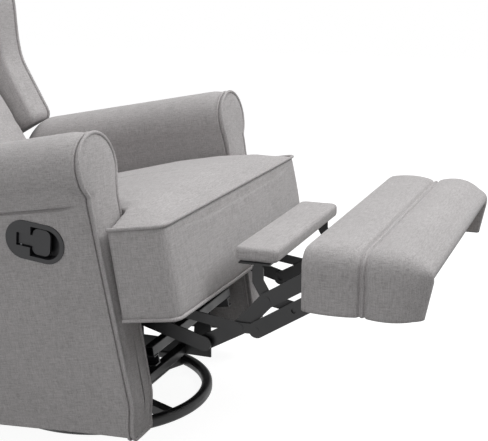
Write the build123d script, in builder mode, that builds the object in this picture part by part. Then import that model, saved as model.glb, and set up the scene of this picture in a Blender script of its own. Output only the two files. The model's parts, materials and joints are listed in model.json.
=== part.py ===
"""Swivel glider recliner: upholstered body on a hanging-link glide and a ring base, footrest out.

All sizes are millimetres. X runs to the sitter's left, the chair faces -Y and Z is up.
The origin is on the floor, on the swivel axis. Side views are drawn as (forward, up).
The body is drawn upright in its own frame and then tipped back by the angle of the glide.
"""

import os
from math import atan2, cos, degrees, hypot, radians, sin

from build123d import *

os.makedirs("parts", exist_ok=True)

# ---------------------------------------------------------------- driving sizes
# base and swivel
RING_RADIUS = 228.0  # to the middle of the tube
RING_TUBE_WIDTH = 24.0
RING_TUBE_HEIGHT = 25.0
RING_TUBE_ROUNDING = 9.0
CROSS_BAR_WIDTH = 23.0
CROSS_BAR_HEIGHT = 20.0
CROSS_ANGLE = 24.0  # of the first bar, from straight ahead towards the sitter's right
HUB_RADIUS = 75.0
HUB_THICKNESS = 4.0
RACE_RADIUS = 70.0
RACE_THICKNESS = 5.0
RACE_GROOVE_RADIUS = 50.0
BALL_RADIUS = 4.0
BALL_COUNT = 12
SWIVEL_BOLT_RADIUS = 8.0
SWIVEL_HEAD_RADIUS = 14.0
SWIVEL_HEAD_HEIGHT = 9.0
RUNNING_CLEARANCE = 0.05  # of every pin in its hole

# swivel frame and hanging glide links
SWIVEL_PLATE_SIDE = 170.0
SWIVEL_PLATE_THICKNESS = 4.0
SWIVEL_TUBE = 22.0
SWIVEL_TUBE_SPACING = 220.0
GLIDE_BRACKET_X = 172.0  # inner face of each upright
GLIDE_BRACKET_THICKNESS = 4.0
GLIDE_BRACKET_WEB = 34.0
GLIDE_BRACKET_FOOT = 30.0
GLIDE_EAR_WIDTH = 32.0
GLIDE_LINK = 120.0  # between the two pins of a link
GLIDE_LINK_WIDTH = 24.0
GLIDE_LINK_THICKNESS = 4.0
GLIDE_PIN_RADIUS = 5.0
FRONT_LINK_LEAN = 49.8  # from vertical, foot swung back
REAR_LINK_LEAN = -9.07
BODY_TILT = 9.04  # the glide at its rear stop tips the body back

# carriage metalwork, in the upright body frame
FRONT_GLIDE_PIVOT = (100.2, 139.9)
REAR_GLIDE_PIVOT = (-159.8, 139.7)
GLIDE_RAIL_X = 184.0
GLIDE_RAIL = 20.0
GLIDE_RAIL_FRONT = 249.0
GLIDE_RAIL_BACK = -182.0
CROSS_TUBE = 21.0
FRONT_TUBE_FORWARD = 238.0
MIDDLE_TUBE_FORWARD = 44.0
REAR_TUBE_FORWARD = -100.0
TUBE_WALL = 2.0
SIDE_PLATE_X = 233.0  # inner face of each side plate
SIDE_PLATE_THICKNESS = 3.0
SIDE_PLATE_TOP = 298.0
SIDE_PLATE_WAIST = 236.0
SIDE_PLATE_FOOT = 136.0
SIDE_PLATE_FOOT_FRONT = 60.0
SIDE_PLATE_FOOT_BACK = -200.0
MOUNTING_ANGLE_LEG = 34.0
MOUNTING_ANGLE_THICKNESS = 3.0

# footrest linkage: a parallel pair of links carries the long link, all steel plate in layers
LINK_THICKNESS = 3.0
LINK_PITCH = 4.0
LINK_PIN_RADIUS = 5.0
DRIVE_ROOT = (296.6, 280.0)  # body frame
DRIVE_LINK = 167.0  # root pin to carried pin
DRIVE_LINK_DROP = 24.4  # below straight ahead, in the body frame, footrest out
REAR_ROOT_BACK = 74.27  # rear root pin behind and below the drive root pin
REAR_ROOT_DOWN = 27.67
DRIVE_LINK_WIDTH = 20.0
DRIVE_KNEE = (45.9, -36.8)  # bend of the drive link, from its root pin
DRIVE_TAIL = (35.6, -4.67)  # drive link's control pin from its carried pin
REAR_LINK_WIDTH = 29.0
LONG_LINK_WIDTH = 30.0
LONG_LINK_ARM = (150.45, 86.44)  # carried pin to footrest pin
FLIPPER_PIVOT_ARM = (60.22, 48.44)  # carried pin to flipper pin
CONTROL_LINK_WIDTH = 32.0
CONTROL_PIN_ARM = (42.86, -23.76)  # footrest pin to control pin, on the bracket
FLIPPER_CONTROL_ARM = (54.48, -18.44)  # flipper pin to control pin
PIN_END_GAP = 0.3
HEAD_OVERLAP = 3.0  # of a pin head past its shank
RIVET_HEAD = 0.7
ROOT_HEAD = 2.0

# footrest, level with the floor when out
FOOTREST_HALF_WIDTH = 340.0
FOOTREST_BACK = 562.0
FOOTREST_LENGTH = 223.0
FOOTREST_TOP = 480.0
FOOTREST_SLAB = 46.0
FOOTREST_CHEEK = 40.0
FOOTREST_CHEEK_BOTTOM = 368.0
FOOTREST_BOARD_THICKNESS = 12.0
FOOTREST_BOARD_INSET = 14.0
FOOTREST_NOSE = 30.0
FOOTREST_SIDE_ROUNDING = 30.0

# flipper, the narrow pad between seat and footrest
FLIPPER_HALF_WIDTH = 207.0
FLIPPER_BACK = 392.0
FLIPPER_LENGTH = 86.0
FLIPPER_TOP = 433.0
FLIPPER_THICKNESS = 21.0
FLIPPER_BOARD_THICKNESS = 8.0
FLIPPER_BOARD_INSET = 8.0
FLIPPER_STRAP_WIDTH = 22.0
FLIPPER_STRAP_FORWARD = 442.5
FLIPPER_STRAP_BEND = 370.0
FLIPPER_FOOT_REACH = 36.0  # of the foot under the board, inwards from the strap

# seat, in the body frame
ARM_INNER = 278.0
ARM_FRONT = 273.0
ARM_BACK = -285.0
SEAT_FRONT = 398.0
SEAT_EAR_HALF_WIDTH = 362.0
SEAT_EAR_BOTTOM = 272.0
SEAT_EAR_BACK = 284.0  # of the seat's ears, in front of the arms
SEAT_CUSHION_BOTTOM = 345.0
SEAT_FRONT_SEAM = 442.0
SEAT_CROWN = 470.0
SEAT_CROWN_FORWARD = 200.0
SEAT_REAR_TOP = 452.0
SEAT_REAR = -195.0
SEAT_PANEL_THICKNESS = 24.0
SEAT_PANEL_ROUNDING = 10.0
CLOTH_CLEARANCE = 0.3
RAIL_WIDTH = 26.0
RAIL_HEIGHT = 40.0
SPRING_WIRE = 3.6
SPRING_COUNT = 5
SEAT_REAR_RAIL = -185.0
SPRING_SPACING = 92.0
SPRING_WAVE = 44.0
SPRING_PITCH = 53.0

# arms
ARM_BOTTOM = 60.0
ARM_BOTTOM_OUTER = 350.0
ARM_NECK = 492.0
ARM_NECK_SPREAD = 24.4  # of the flank, from its bottom out to the neck under the roll
ROLL_CENTRE_X = 328.5
ROLL_HALF_WIDTH = 64.5
ROLL_FRONT_TOP = 621.0
ROLL_BACK_TOP = 606.0
ROLL_HEIGHT = 124.0
ROLL_INNER_TUCK = (6.0, 24.0)  # where the inner side meets the roll, in from its edge and below
ROLL_REAR_ROUNDING = 70.0
ARM_FRAME_SETBACK = 45.0  # of the side rails, in front of the arm's rear end
ANGLE_SETBACK = 8.0  # of the mounting angles, in front of the side rails
ARM_PANEL_THICKNESS = 12.0
REAR_PANEL_BOTTOM = 75.0
REAR_PANEL_TOP = 250.0

# back, in its own frame: origin on the recline pivot, up along the back
BACK_PIVOT = (-265.0, 300.0)
BACK_LEAN = 20.0
BACK_HEIGHT = 758.0
BACK_HALF_WIDTH = 345.0
BACK_FRAME_DEPTH = 25.0
BACK_SIDE_GAP = 6.0  # to the arms, below the flare, where the shell passes between them
BACK_FLARE = 20.0
BACK_FLARE_RISE = 30.0
BACK_CORNER = (60.0, 40.0)
BACK_SHELL_THICKNESS = 5.0
BACK_CUSHION_DEPTH = 112.0
BACK_CUSHION_HALF_WIDTH = 250.0
BACK_CUSHION_BOTTOM = 25.0
BACK_BOTTOM = -30.0
WING_BOTTOM = 277.0
WING_INNER = 256.0
WING_LOW_DEPTH = 138.0
WING_HIGH_DEPTH = 214.0
WING_SWEEP = ((138.0, 440.0), (149.0, 476.0), (166.0, 515.0), (188.0, 559.0), (196.0, 578.0))
BACK_FRAME_HALF_WIDTH = 229.0
BACK_HINGE_LENGTH = 190.0
BACK_HINGE_WIDTH = 24.0
BACK_PIN_RADIUS = 6.0
BACK_HINGE_SET = -12.5
BACK_FRAME_BOTTOM = 0.0
BACK_FRAME_TOP = 745.0

# release lever, set in the outside of the sitter's right arm
LEVER_FORWARD = 139.0
LEVER_UP = 433.5
LEVER_TURN = 16.0  # front end lower than rear end
CUP_LENGTH = 122.0
CUP_HEIGHT = 74.0
CUP_FLANGE = 3.0
CUP_DEPTH = 24.0
CUP_WALL = 3.5
CUP_RIM = 5.0
CUP_WELL_BACK = -9.0  # rear end of the finger well, from the middle of the cup
CUP_SLOT_BACK = -38.0  # rear end of the slot that holds the paddle's stem
PADDLE_THICKNESS = 6.0
PADDLE_PIN_BACK = -32.0
PADDLE_TAIL = 4.0  # of the stem behind the pin
PADDLE_BACK = -7.0  # rear and front end of the wide part
PADDLE_FRONT = 30.0
PADDLE_WIDE = 50.0
PADDLE_CORNER = 12.0
PADDLE_STEM = 21.0
PADDLE_GAP = 2.0  # of the stem in its slot
PADDLE_PIN_RADIUS = 2.5
PADDLE_PIN_REACH = 18.3
PADDLE_AXIS_DEPTH = -5.0

# ---------------------------------------------------------------- frames and helpers
# side view plane: local x is forward, local y is up, offsets run to the sitter's right (-X)
SIDE = Plane(origin=(0, 0, 0), x_dir=(0, -1, 0), z_dir=(-1, 0, 0))
BODY_POSE = Location((0, 0, 0), (-BODY_TILT, 0, 0))
BACK_POSE = BODY_POSE * Location((0, -BACK_PIVOT[0], BACK_PIVOT[1]), (-BACK_LEAN, 0, 0))


def reach(point, arm):
    """Return the point that lies at arm from point, both as (forward, up)."""
    return (point[0] + arm[0], point[1] + arm[1])


def to_world(point):
    """Turn a side-view point of the upright body into the tipped place it has at rest."""
    tilt = radians(BODY_TILT)
    return (
        point[0] * cos(tilt) - point[1] * sin(tilt),
        point[1] * cos(tilt) + point[0] * sin(tilt),
    )


def layer(number):
    """Inner face of a link layer: number 0 is the side plate, and each layer lies further in."""
    return SIDE_PLATE_X - number * LINK_PITCH


def link_plate(across, points, width, holes, hole_radius, thickness=LINK_THICKNESS):
    """A steel link: rounded strips through points, from across outwards, with round holes."""
    plane = SIDE.offset(across)
    with BuildPart() as link:
        for start, end in zip(points, points[1:]):
            with BuildSketch(plane):
                with Locations(start, end):
                    Circle(width / 2)
                make_hull()
            extrude(amount=thickness)
        if holes:
            with BuildSketch(plane):
                with Locations(*holes):
                    Circle(hole_radius)
            extrude(amount=thickness, mode=Mode.SUBTRACT)
    return link.part


def pin(across, length, centres, radius):
    """Round pins along X at each of the side-view centres."""
    with BuildPart() as pins:
        with BuildSketch(SIDE.offset(across)):
            with Locations(*centres):
                Circle(radius)
        extrude(amount=length)
    return pins.part


def headed_pin(inner, outer, head_side, head_thickness, centres, radius):
    """Pins from inner to outer with a flat head on the inner (-1) or outer (+1) end."""
    shank = pin(inner, outer - inner, centres, radius)
    head_start = outer if head_side > 0 else inner - head_thickness
    return shank + pin(head_start, head_thickness, centres, radius + HEAD_OVERLAP)


def write(name, shape, pose=Location()):
    """Label a finished piece, set it in its place and write it."""
    placed = shape.moved(pose)
    placed.label = name
    export_step(placed, f"parts/{name}.step")


def write_pair(name, right_shape, pose=Location()):
    """Write the right-hand piece and its mirror image for the left side."""
    write(f"{name}_right", right_shape, pose)
    write(f"{name}_left", mirror(right_shape, about=Plane.YZ), pose)


def both_sides(right_shape):
    """Return the right-hand piece and its mirror image as one part of two solids."""
    return right_shape + mirror(right_shape, about=Plane.YZ)


# ---------------------------------------------------------------- ring base
with BuildPart() as base_ring:
    with BuildSketch(Plane.XZ):
        with Locations((RING_RADIUS, RING_TUBE_HEIGHT / 2)):
            RectangleRounded(RING_TUBE_WIDTH, RING_TUBE_HEIGHT, RING_TUBE_ROUNDING)
    revolve(axis=Axis.Z)
write("base_ring", base_ring.part)

bar_reach = RING_RADIUS - RING_TUBE_WIDTH / 4
hub_top = CROSS_BAR_HEIGHT + HUB_THICKNESS
with BuildPart() as base_cross:
    with BuildSketch():
        with Locations(Rotation(0, 0, 90 - CROSS_ANGLE), Rotation(0, 0, -CROSS_ANGLE)):
            Rectangle(2 * bar_reach, CROSS_BAR_WIDTH)
    extrude(amount=CROSS_BAR_HEIGHT)
    with BuildSketch(Plane.XY.offset(CROSS_BAR_HEIGHT)):
        Circle(HUB_RADIUS)
    extrude(amount=HUB_THICKNESS)
    with BuildSketch(Plane.XY.offset(HUB_THICKNESS)):
        Circle(SWIVEL_BOLT_RADIUS)
    extrude(amount=hub_top, mode=Mode.SUBTRACT)
    add(base_ring.part, mode=Mode.SUBTRACT)
write("base_cross", base_cross.part)

# ---------------------------------------------------------------- swivel bearing
race_gap = 2 * (BALL_RADIUS + RUNNING_CLEARANCE) - 2 * 3.0
lower_race_top = hub_top + RACE_THICKNESS
upper_race_bottom = lower_race_top + race_gap
ball_level = lower_race_top + race_gap / 2


def race(bottom, bore):
    """A pressed ring with half a ball groove on one face."""
    with BuildPart() as ring:
        with BuildSketch(Plane.XY.offset(bottom)):
            Circle(RACE_RADIUS)
            Circle(bore, mode=Mode.SUBTRACT)
        extrude(amount=RACE_THICKNESS)
        with BuildSketch(Plane.XZ):
            with Locations((RACE_GROOVE_RADIUS, ball_level)):
                Circle(BALL_RADIUS + RUNNING_CLEARANCE)
        revolve(axis=Axis.Z, mode=Mode.SUBTRACT)
    return ring.part


write("bearing_lower_race", race(hub_top, SWIVEL_HEAD_RADIUS))
write("bearing_upper_race", race(upper_race_bottom, SWIVEL_BOLT_RADIUS + 2 * RUNNING_CLEARANCE))

with BuildPart() as bearing_balls:
    with BuildSketch(Plane.XZ):
        with Locations((RACE_GROOVE_RADIUS, ball_level)):
            RegularPolygon(BALL_RADIUS, 10)
            with Locations((-BALL_RADIUS, 0)):
                Rectangle(2 * BALL_RADIUS, 2 * BALL_RADIUS, mode=Mode.SUBTRACT)
    revolve(axis=Axis((RACE_GROOVE_RADIUS, 0, 0), (0, 0, 1)))
ball_ring = Part()
for step in range(BALL_COUNT):
    ball_ring += bearing_balls.part.moved(Location((0, 0, 0), (0, 0, 360 * step / BALL_COUNT)))
write("bearing_balls", ball_ring)

swivel_plate_bottom = upper_race_bottom + RACE_THICKNESS
swivel_tube_bottom = swivel_plate_bottom + SWIVEL_PLATE_THICKNESS
swivel_tube_top = swivel_tube_bottom + SWIVEL_TUBE
with BuildPart() as swivel_bolt:
    with BuildSketch(Plane.XY.offset(HUB_THICKNESS)):
        Circle(SWIVEL_BOLT_RADIUS - RUNNING_CLEARANCE)
    extrude(amount=swivel_tube_bottom - HUB_THICKNESS + 1)
    with BuildSketch(Plane.XY.offset(swivel_tube_bottom + 1)):
        RegularPolygon(SWIVEL_HEAD_RADIUS, 6)
    extrude(amount=SWIVEL_HEAD_HEIGHT)
write("swivel_bolt", swivel_bolt.part)

# ---------------------------------------------------------------- swivel frame and its brackets
with BuildPart() as swivel_frame:
    with BuildSketch(Plane.XY.offset(swivel_plate_bottom)):
        Rectangle(SWIVEL_PLATE_SIDE, SWIVEL_TUBE_SPACING + SWIVEL_TUBE)
        Circle(SWIVEL_BOLT_RADIUS + 2 * RUNNING_CLEARANCE, mode=Mode.SUBTRACT)
    extrude(amount=SWIVEL_PLATE_THICKNESS)
    for along in (-SWIVEL_TUBE_SPACING / 2, SWIVEL_TUBE_SPACING / 2):
        with BuildSketch(Plane.YZ.offset(-GLIDE_BRACKET_X)):
            with Locations((along, swivel_tube_bottom + SWIVEL_TUBE / 2)):
                RectangleRounded(SWIVEL_TUBE, SWIVEL_TUBE, 3)
                Rectangle(SWIVEL_TUBE - 2 * TUBE_WALL, SWIVEL_TUBE - 2 * TUBE_WALL, mode=Mode.SUBTRACT)
        extrude(amount=2 * GLIDE_BRACKET_X)
write("swivel_frame", swivel_frame.part)


def hanger(pivot, lean):
    """Ground pin of a hanging link whose foot pin is at pivot, in world side view."""
    foot = to_world(pivot)
    return reach(foot, (GLIDE_LINK * sin(radians(lean)), GLIDE_LINK * cos(radians(lean))))


front_hanger = hanger(FRONT_GLIDE_PIVOT, FRONT_LINK_LEAN)
rear_hanger = hanger(REAR_GLIDE_PIVOT, REAR_LINK_LEAN)
glide_foot = swivel_tube_top
with BuildPart() as glide_bracket:
    for eye in (front_hanger, rear_hanger):
        with BuildSketch(SIDE.offset(GLIDE_BRACKET_X)):
            with BuildLine():
                Polyline(
                    (eye[0] - GLIDE_EAR_WIDTH / 2, eye[1]),
                    (eye[0] - GLIDE_EAR_WIDTH, swivel_tube_bottom),
                    (eye[0] + GLIDE_EAR_WIDTH / 2, swivel_tube_bottom),
                    (eye[0] + GLIDE_EAR_WIDTH / 2, eye[1]),
                    close=True,
                )
            make_face()
            with Locations(eye):
                Circle(GLIDE_EAR_WIDTH / 2)
        extrude(amount=GLIDE_BRACKET_THICKNESS)
    with BuildSketch(SIDE.offset(GLIDE_BRACKET_X)):
        with BuildLine():
            Polyline(
                (rear_hanger[0], swivel_tube_bottom),
                (front_hanger[0], swivel_tube_bottom),
                (front_hanger[0], swivel_tube_bottom + GLIDE_BRACKET_WEB),
                (rear_hanger[0], swivel_tube_bottom + GLIDE_BRACKET_WEB),
                close=True,
            )
        make_face()
    extrude(amount=GLIDE_BRACKET_THICKNESS)
    with BuildSketch(SIDE.offset(GLIDE_BRACKET_X)):
        with Locations(front_hanger, rear_hanger):
            Circle(GLIDE_PIN_RADIUS + RUNNING_CLEARANCE)
    extrude(amount=GLIDE_BRACKET_THICKNESS, mode=Mode.SUBTRACT)
write_pair("glide_bracket", glide_bracket.part)

glide_link_x = GLIDE_BRACKET_X + GLIDE_BRACKET_THICKNESS + 1
hanger_pin = headed_pin(
    GLIDE_BRACKET_X, glide_link_x + GLIDE_LINK_THICKNESS + 1, -1, ROOT_HEAD,
    (front_hanger, rear_hanger), GLIDE_PIN_RADIUS,
)
write("glide_hanger_pins", both_sides(hanger_pin))

for name, eye, foot in (
    ("front_glide_links", front_hanger, to_world(FRONT_GLIDE_PIVOT)),
    ("rear_glide_links", rear_hanger, to_world(REAR_GLIDE_PIVOT)),
):
    link = link_plate(
        glide_link_x, (eye, foot), GLIDE_LINK_WIDTH, (eye, foot),
        GLIDE_PIN_RADIUS + RUNNING_CLEARANCE, GLIDE_LINK_THICKNESS,
    )
    write(name, both_sides(link))

# ---------------------------------------------------------------- carriage: rails and cross tubes
rail_top = FRONT_GLIDE_PIVOT[1] + GLIDE_RAIL / 2
rail_bottom = rail_top - GLIDE_RAIL
with BuildPart() as glide_rail:
    with BuildSketch(SIDE.offset(GLIDE_RAIL_X)):
        with BuildLine():
            Polyline(
                (GLIDE_RAIL_BACK, rail_bottom), (GLIDE_RAIL_FRONT, rail_bottom),
                (GLIDE_RAIL_FRONT, rail_top), (GLIDE_RAIL_BACK, rail_top), close=True,
            )
        make_face()
    extrude(amount=GLIDE_RAIL)
    # open channel: the web is the inner face, next to the links
    with BuildSketch(SIDE.offset(GLIDE_RAIL_X + 2 * TUBE_WALL)):
        with BuildLine():
            Polyline(
                (GLIDE_RAIL_BACK, rail_bottom + TUBE_WALL), (GLIDE_RAIL_FRONT, rail_bottom + TUBE_WALL),
                (GLIDE_RAIL_FRONT, rail_top - TUBE_WALL), (GLIDE_RAIL_BACK, rail_top - TUBE_WALL),
                close=True,
            )
        make_face()
    extrude(amount=GLIDE_RAIL, mode=Mode.SUBTRACT)
write_pair("glide_rail", glide_rail.part, BODY_POSE)

carriage_pin = pin(
    glide_link_x - 0.5, GLIDE_RAIL_X - glide_link_x + 0.5, (FRONT_GLIDE_PIVOT,), GLIDE_PIN_RADIUS,
)
carriage_stub = pin(
    glide_link_x + GLIDE_LINK_THICKNESS + PIN_END_GAP,
    GLIDE_RAIL_X - glide_link_x - GLIDE_LINK_THICKNESS - PIN_END_GAP,
    (REAR_GLIDE_PIVOT,), GLIDE_PIN_RADIUS,
)
write("glide_carriage_pins", both_sides(carriage_pin + carriage_stub), BODY_POSE)


def cross_tube(forward, half_length):
    """A square tube across the chair, standing on the glide rails."""
    with BuildPart() as tube:
        with BuildSketch(SIDE.offset(-half_length)):
            with Locations((forward, rail_top + CROSS_TUBE / 2)):
                RectangleRounded(CROSS_TUBE, CROSS_TUBE, 3)
                Rectangle(CROSS_TUBE - 2 * TUBE_WALL, CROSS_TUBE - 2 * TUBE_WALL, mode=Mode.SUBTRACT)
        extrude(amount=2 * half_length)
    return tube.part


write("front_cross_tube", cross_tube(FRONT_TUBE_FORWARD, GLIDE_RAIL_X + GLIDE_RAIL), BODY_POSE)
write("middle_cross_tube", cross_tube(MIDDLE_TUBE_FORWARD, SIDE_PLATE_X), BODY_POSE)
write("rear_cross_tube", cross_tube(REAR_TUBE_FORWARD, SIDE_PLATE_X), BODY_POSE)

# ---------------------------------------------------------------- mechanism side plates
drive_fall = radians(DRIVE_LINK_DROP)
DRIVE_VECTOR = (DRIVE_LINK * cos(drive_fall), -DRIVE_LINK * sin(drive_fall))
rear_root = reach(DRIVE_ROOT, (-REAR_ROOT_BACK, -REAR_ROOT_DOWN))
carried_pin = reach(DRIVE_ROOT, DRIVE_VECTOR)
rear_carried_pin = reach(rear_root, DRIVE_VECTOR)
drive_tail_pin = reach(carried_pin, DRIVE_TAIL)
footrest_pin = reach(carried_pin, LONG_LINK_ARM)
control_pin = reach(footrest_pin, CONTROL_PIN_ARM)
flipper_pin = reach(carried_pin, FLIPPER_PIVOT_ARM)
flipper_control_pin = reach(flipper_pin, FLIPPER_CONTROL_ARM)
root_boss = 16.0

with BuildPart() as side_plate:
    with BuildSketch(SIDE.offset(SIDE_PLATE_X)):
        with BuildLine():
            Polyline(
                (BACK_PIVOT[0], BACK_PIVOT[1] - root_boss), (SIDE_PLATE_FOOT_BACK, SIDE_PLATE_WAIST),
                (SIDE_PLATE_FOOT_BACK + 20, SIDE_PLATE_FOOT), (SIDE_PLATE_FOOT_FRONT, SIDE_PLATE_FOOT),
                (SIDE_PLATE_FOOT_FRONT + 40, SIDE_PLATE_WAIST), (rear_root[0], rear_root[1] - root_boss),
                (DRIVE_ROOT[0], DRIVE_ROOT[1] - root_boss), (DRIVE_ROOT[0], SIDE_PLATE_TOP),
                (BACK_PIVOT[0], SIDE_PLATE_TOP), close=True,
            )
        make_face()
        with Locations(DRIVE_ROOT, BACK_PIVOT):
            Circle(root_boss)
    extrude(amount=SIDE_PLATE_THICKNESS)
    with BuildSketch(SIDE.offset(SIDE_PLATE_X)):
        with Locations(DRIVE_ROOT, rear_root):
            Circle(LINK_PIN_RADIUS + RUNNING_CLEARANCE)
        with Locations(BACK_PIVOT):
            Circle(BACK_PIN_RADIUS + RUNNING_CLEARANCE)
        # lightening slots along the plate
        with Locations((-140, 268), (-20, 268), (100, 268)):
            SlotOverall(70, 18)
    extrude(amount=SIDE_PLATE_THICKNESS, mode=Mode.SUBTRACT)
write_pair("side_plate", side_plate.part, BODY_POSE)

angle_front = DRIVE_ROOT[0] - root_boss
angle_back = ARM_BACK + ARM_FRAME_SETBACK + ANGLE_SETBACK
angle_x = SIDE_PLATE_X + SIDE_PLATE_THICKNESS
rail_outer = ARM_INNER - CLOTH_CLEARANCE
rail_bottom_level = SIDE_PLATE_TOP + MOUNTING_ANGLE_THICKNESS
rail_top_level = rail_bottom_level + RAIL_HEIGHT
with BuildPart() as mounting_angle:
    with BuildSketch(Plane.XZ.offset(angle_back)):
        with BuildLine():
            Polyline(
                (-angle_x, rail_bottom_level), (-rail_outer, rail_bottom_level),
                (-rail_outer, SIDE_PLATE_TOP), (-angle_x - MOUNTING_ANGLE_THICKNESS, SIDE_PLATE_TOP),
                (-angle_x - MOUNTING_ANGLE_THICKNESS, SIDE_PLATE_TOP - MOUNTING_ANGLE_LEG),
                (-angle_x, SIDE_PLATE_TOP - MOUNTING_ANGLE_LEG), close=True,
            )
        make_face()
    extrude(amount=angle_front - angle_back)
write("mounting_angles", both_sides(mounting_angle.part), BODY_POSE)

root_outer = SIDE_PLATE_X + SIDE_PLATE_THICKNESS
root_pins = headed_pin(
    layer(1) - 0.5, root_outer, 1, ROOT_HEAD, (rear_root,), LINK_PIN_RADIUS,
) + headed_pin(layer(3), root_outer, 1, ROOT_HEAD, (DRIVE_ROOT,), LINK_PIN_RADIUS)
write("linkage_root_pins", both_sides(root_pins), BODY_POSE)

# ---------------------------------------------------------------- footrest linkage
hole = LINK_PIN_RADIUS + RUNNING_CLEARANCE
drive_knee = reach(DRIVE_ROOT, DRIVE_KNEE)
drive_link = link_plate(
    layer(3), (DRIVE_ROOT, drive_knee, carried_pin, drive_tail_pin), DRIVE_LINK_WIDTH,
    (DRIVE_ROOT, carried_pin, drive_tail_pin), hole,
)
write_pair("drive_link", drive_link, BODY_POSE)
drive_rivets = headed_pin(
    layer(4) - 0.5, layer(3) + LINK_THICKNESS, 1, RIVET_HEAD, (carried_pin,), LINK_PIN_RADIUS,
) + headed_pin(
    layer(3), layer(2) + LINK_THICKNESS + 0.5, -1, RIVET_HEAD, (drive_tail_pin,), LINK_PIN_RADIUS,
)
write("drive_link_rivets", both_sides(drive_rivets), BODY_POSE)

# the far end of the rear link turns on a stud that faces the long link
rear_stud_start = layer(4) + LINK_THICKNESS + PIN_END_GAP
rear_link = link_plate(
    layer(1), (rear_root, rear_carried_pin), REAR_LINK_WIDTH, (rear_root,), hole,
) + pin(rear_stud_start, layer(1) - rear_stud_start, (rear_carried_pin,), LINK_PIN_RADIUS)
write("rear_links", both_sides(rear_link), BODY_POSE)

long_link = link_plate(
    layer(4), (rear_carried_pin, carried_pin, flipper_pin, footrest_pin), LONG_LINK_WIDTH,
    (rear_carried_pin, carried_pin, flipper_pin, footrest_pin), hole,
)
write_pair("long_link", long_link, BODY_POSE)
long_rivets = headed_pin(
    layer(5) - 0.5, layer(4) + LINK_THICKNESS, 1, RIVET_HEAD, (footrest_pin,), LINK_PIN_RADIUS,
) + headed_pin(
    layer(6) - 0.5, layer(4) + LINK_THICKNESS, 1, RIVET_HEAD, (flipper_pin,), LINK_PIN_RADIUS,
)
write("long_link_rivets", both_sides(long_rivets), BODY_POSE)

control_link = link_plate(
    layer(2), (drive_tail_pin, control_pin), CONTROL_LINK_WIDTH,
    (drive_tail_pin, flipper_control_pin, control_pin), hole,
)
write("control_links", both_sides(control_link), BODY_POSE)

# ---------------------------------------------------------------- footrest, drawn in world side view
footrest_front = FOOTREST_BACK + FOOTREST_LENGTH
slab_bottom = FOOTREST_TOP - FOOTREST_SLAB
board_bottom = slab_bottom - FOOTREST_BOARD_THICKNESS
eye = to_world(footrest_pin)
control_eye = to_world(control_pin)
bracket_x = layer(5)
strip = ((FOOTREST_BACK + 40, board_bottom - 10), (footrest_front - 45, board_bottom - 10))
footrest_arm = link_plate(bracket_x, (strip[0], eye, control_eye), 20.0, (eye,), hole)
footrest_arm += link_plate(bracket_x, (control_eye, strip[0], strip[1]), 20.0, (), 0)
with BuildPart() as footrest_foot:
    with BuildSketch(SIDE.offset(bracket_x - 17)):
        with BuildLine():
            Polyline(
                (strip[0][0], board_bottom - LINK_THICKNESS), (strip[1][0], board_bottom - LINK_THICKNESS),
                (strip[1][0], board_bottom), (strip[0][0], board_bottom), close=True,
            )
        make_face()
    extrude(amount=17)
stud_end = layer(2) - PIN_END_GAP
footrest_stud = pin(
    bracket_x + LINK_THICKNESS, stud_end - bracket_x - LINK_THICKNESS, (control_eye,), LINK_PIN_RADIUS,
)
write("footrest_brackets", both_sides(footrest_arm + footrest_foot.part + footrest_stud))


def side_box(low_x, high_x, back, front, bottom, top):
    """A box between two X planes, given in side view."""
    return Pos((low_x + high_x) / 2, -(back + front) / 2, (bottom + top) / 2) * Box(
        high_x - low_x, front - back, top - bottom
    )


board_half = FOOTREST_HALF_WIDTH - FOOTREST_CHEEK - CLOTH_CLEARANCE - 8
write("footrest_board", side_box(
    -board_half, board_half, FOOTREST_BACK + FOOTREST_BOARD_INSET,
    footrest_front - FOOTREST_BOARD_INSET, board_bottom, slab_bottom,
))

inner_half = FOOTREST_HALF_WIDTH - FOOTREST_CHEEK
with BuildPart() as footrest_pad:
    with BuildSketch(Plane.XZ.offset(FOOTREST_BACK)):
        with BuildLine():
            Polyline(
                (-FOOTREST_HALF_WIDTH, FOOTREST_CHEEK_BOTTOM), (-inner_half, FOOTREST_CHEEK_BOTTOM),
                (-inner_half, slab_bottom + CLOTH_CLEARANCE), (inner_half, slab_bottom + CLOTH_CLEARANCE),
                (inner_half, FOOTREST_CHEEK_BOTTOM), (FOOTREST_HALF_WIDTH, FOOTREST_CHEEK_BOTTOM),
                (FOOTREST_HALF_WIDTH, FOOTREST_TOP), (-FOOTREST_HALF_WIDTH, FOOTREST_TOP), close=True,
            )
        make_face()
    extrude(amount=FOOTREST_LENGTH)
    long_edges = footrest_pad.edges().filter_by(Axis.Y).group_by(Axis.Z)[-1]
    fillet(long_edges, FOOTREST_SIDE_ROUNDING)
    nose = footrest_pad.faces().sort_by(Axis.Y)[0].edges().group_by(Axis.Z)[-1]
    fillet(nose, FOOTREST_NOSE)
write("footrest_pad", footrest_pad.part)

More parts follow.
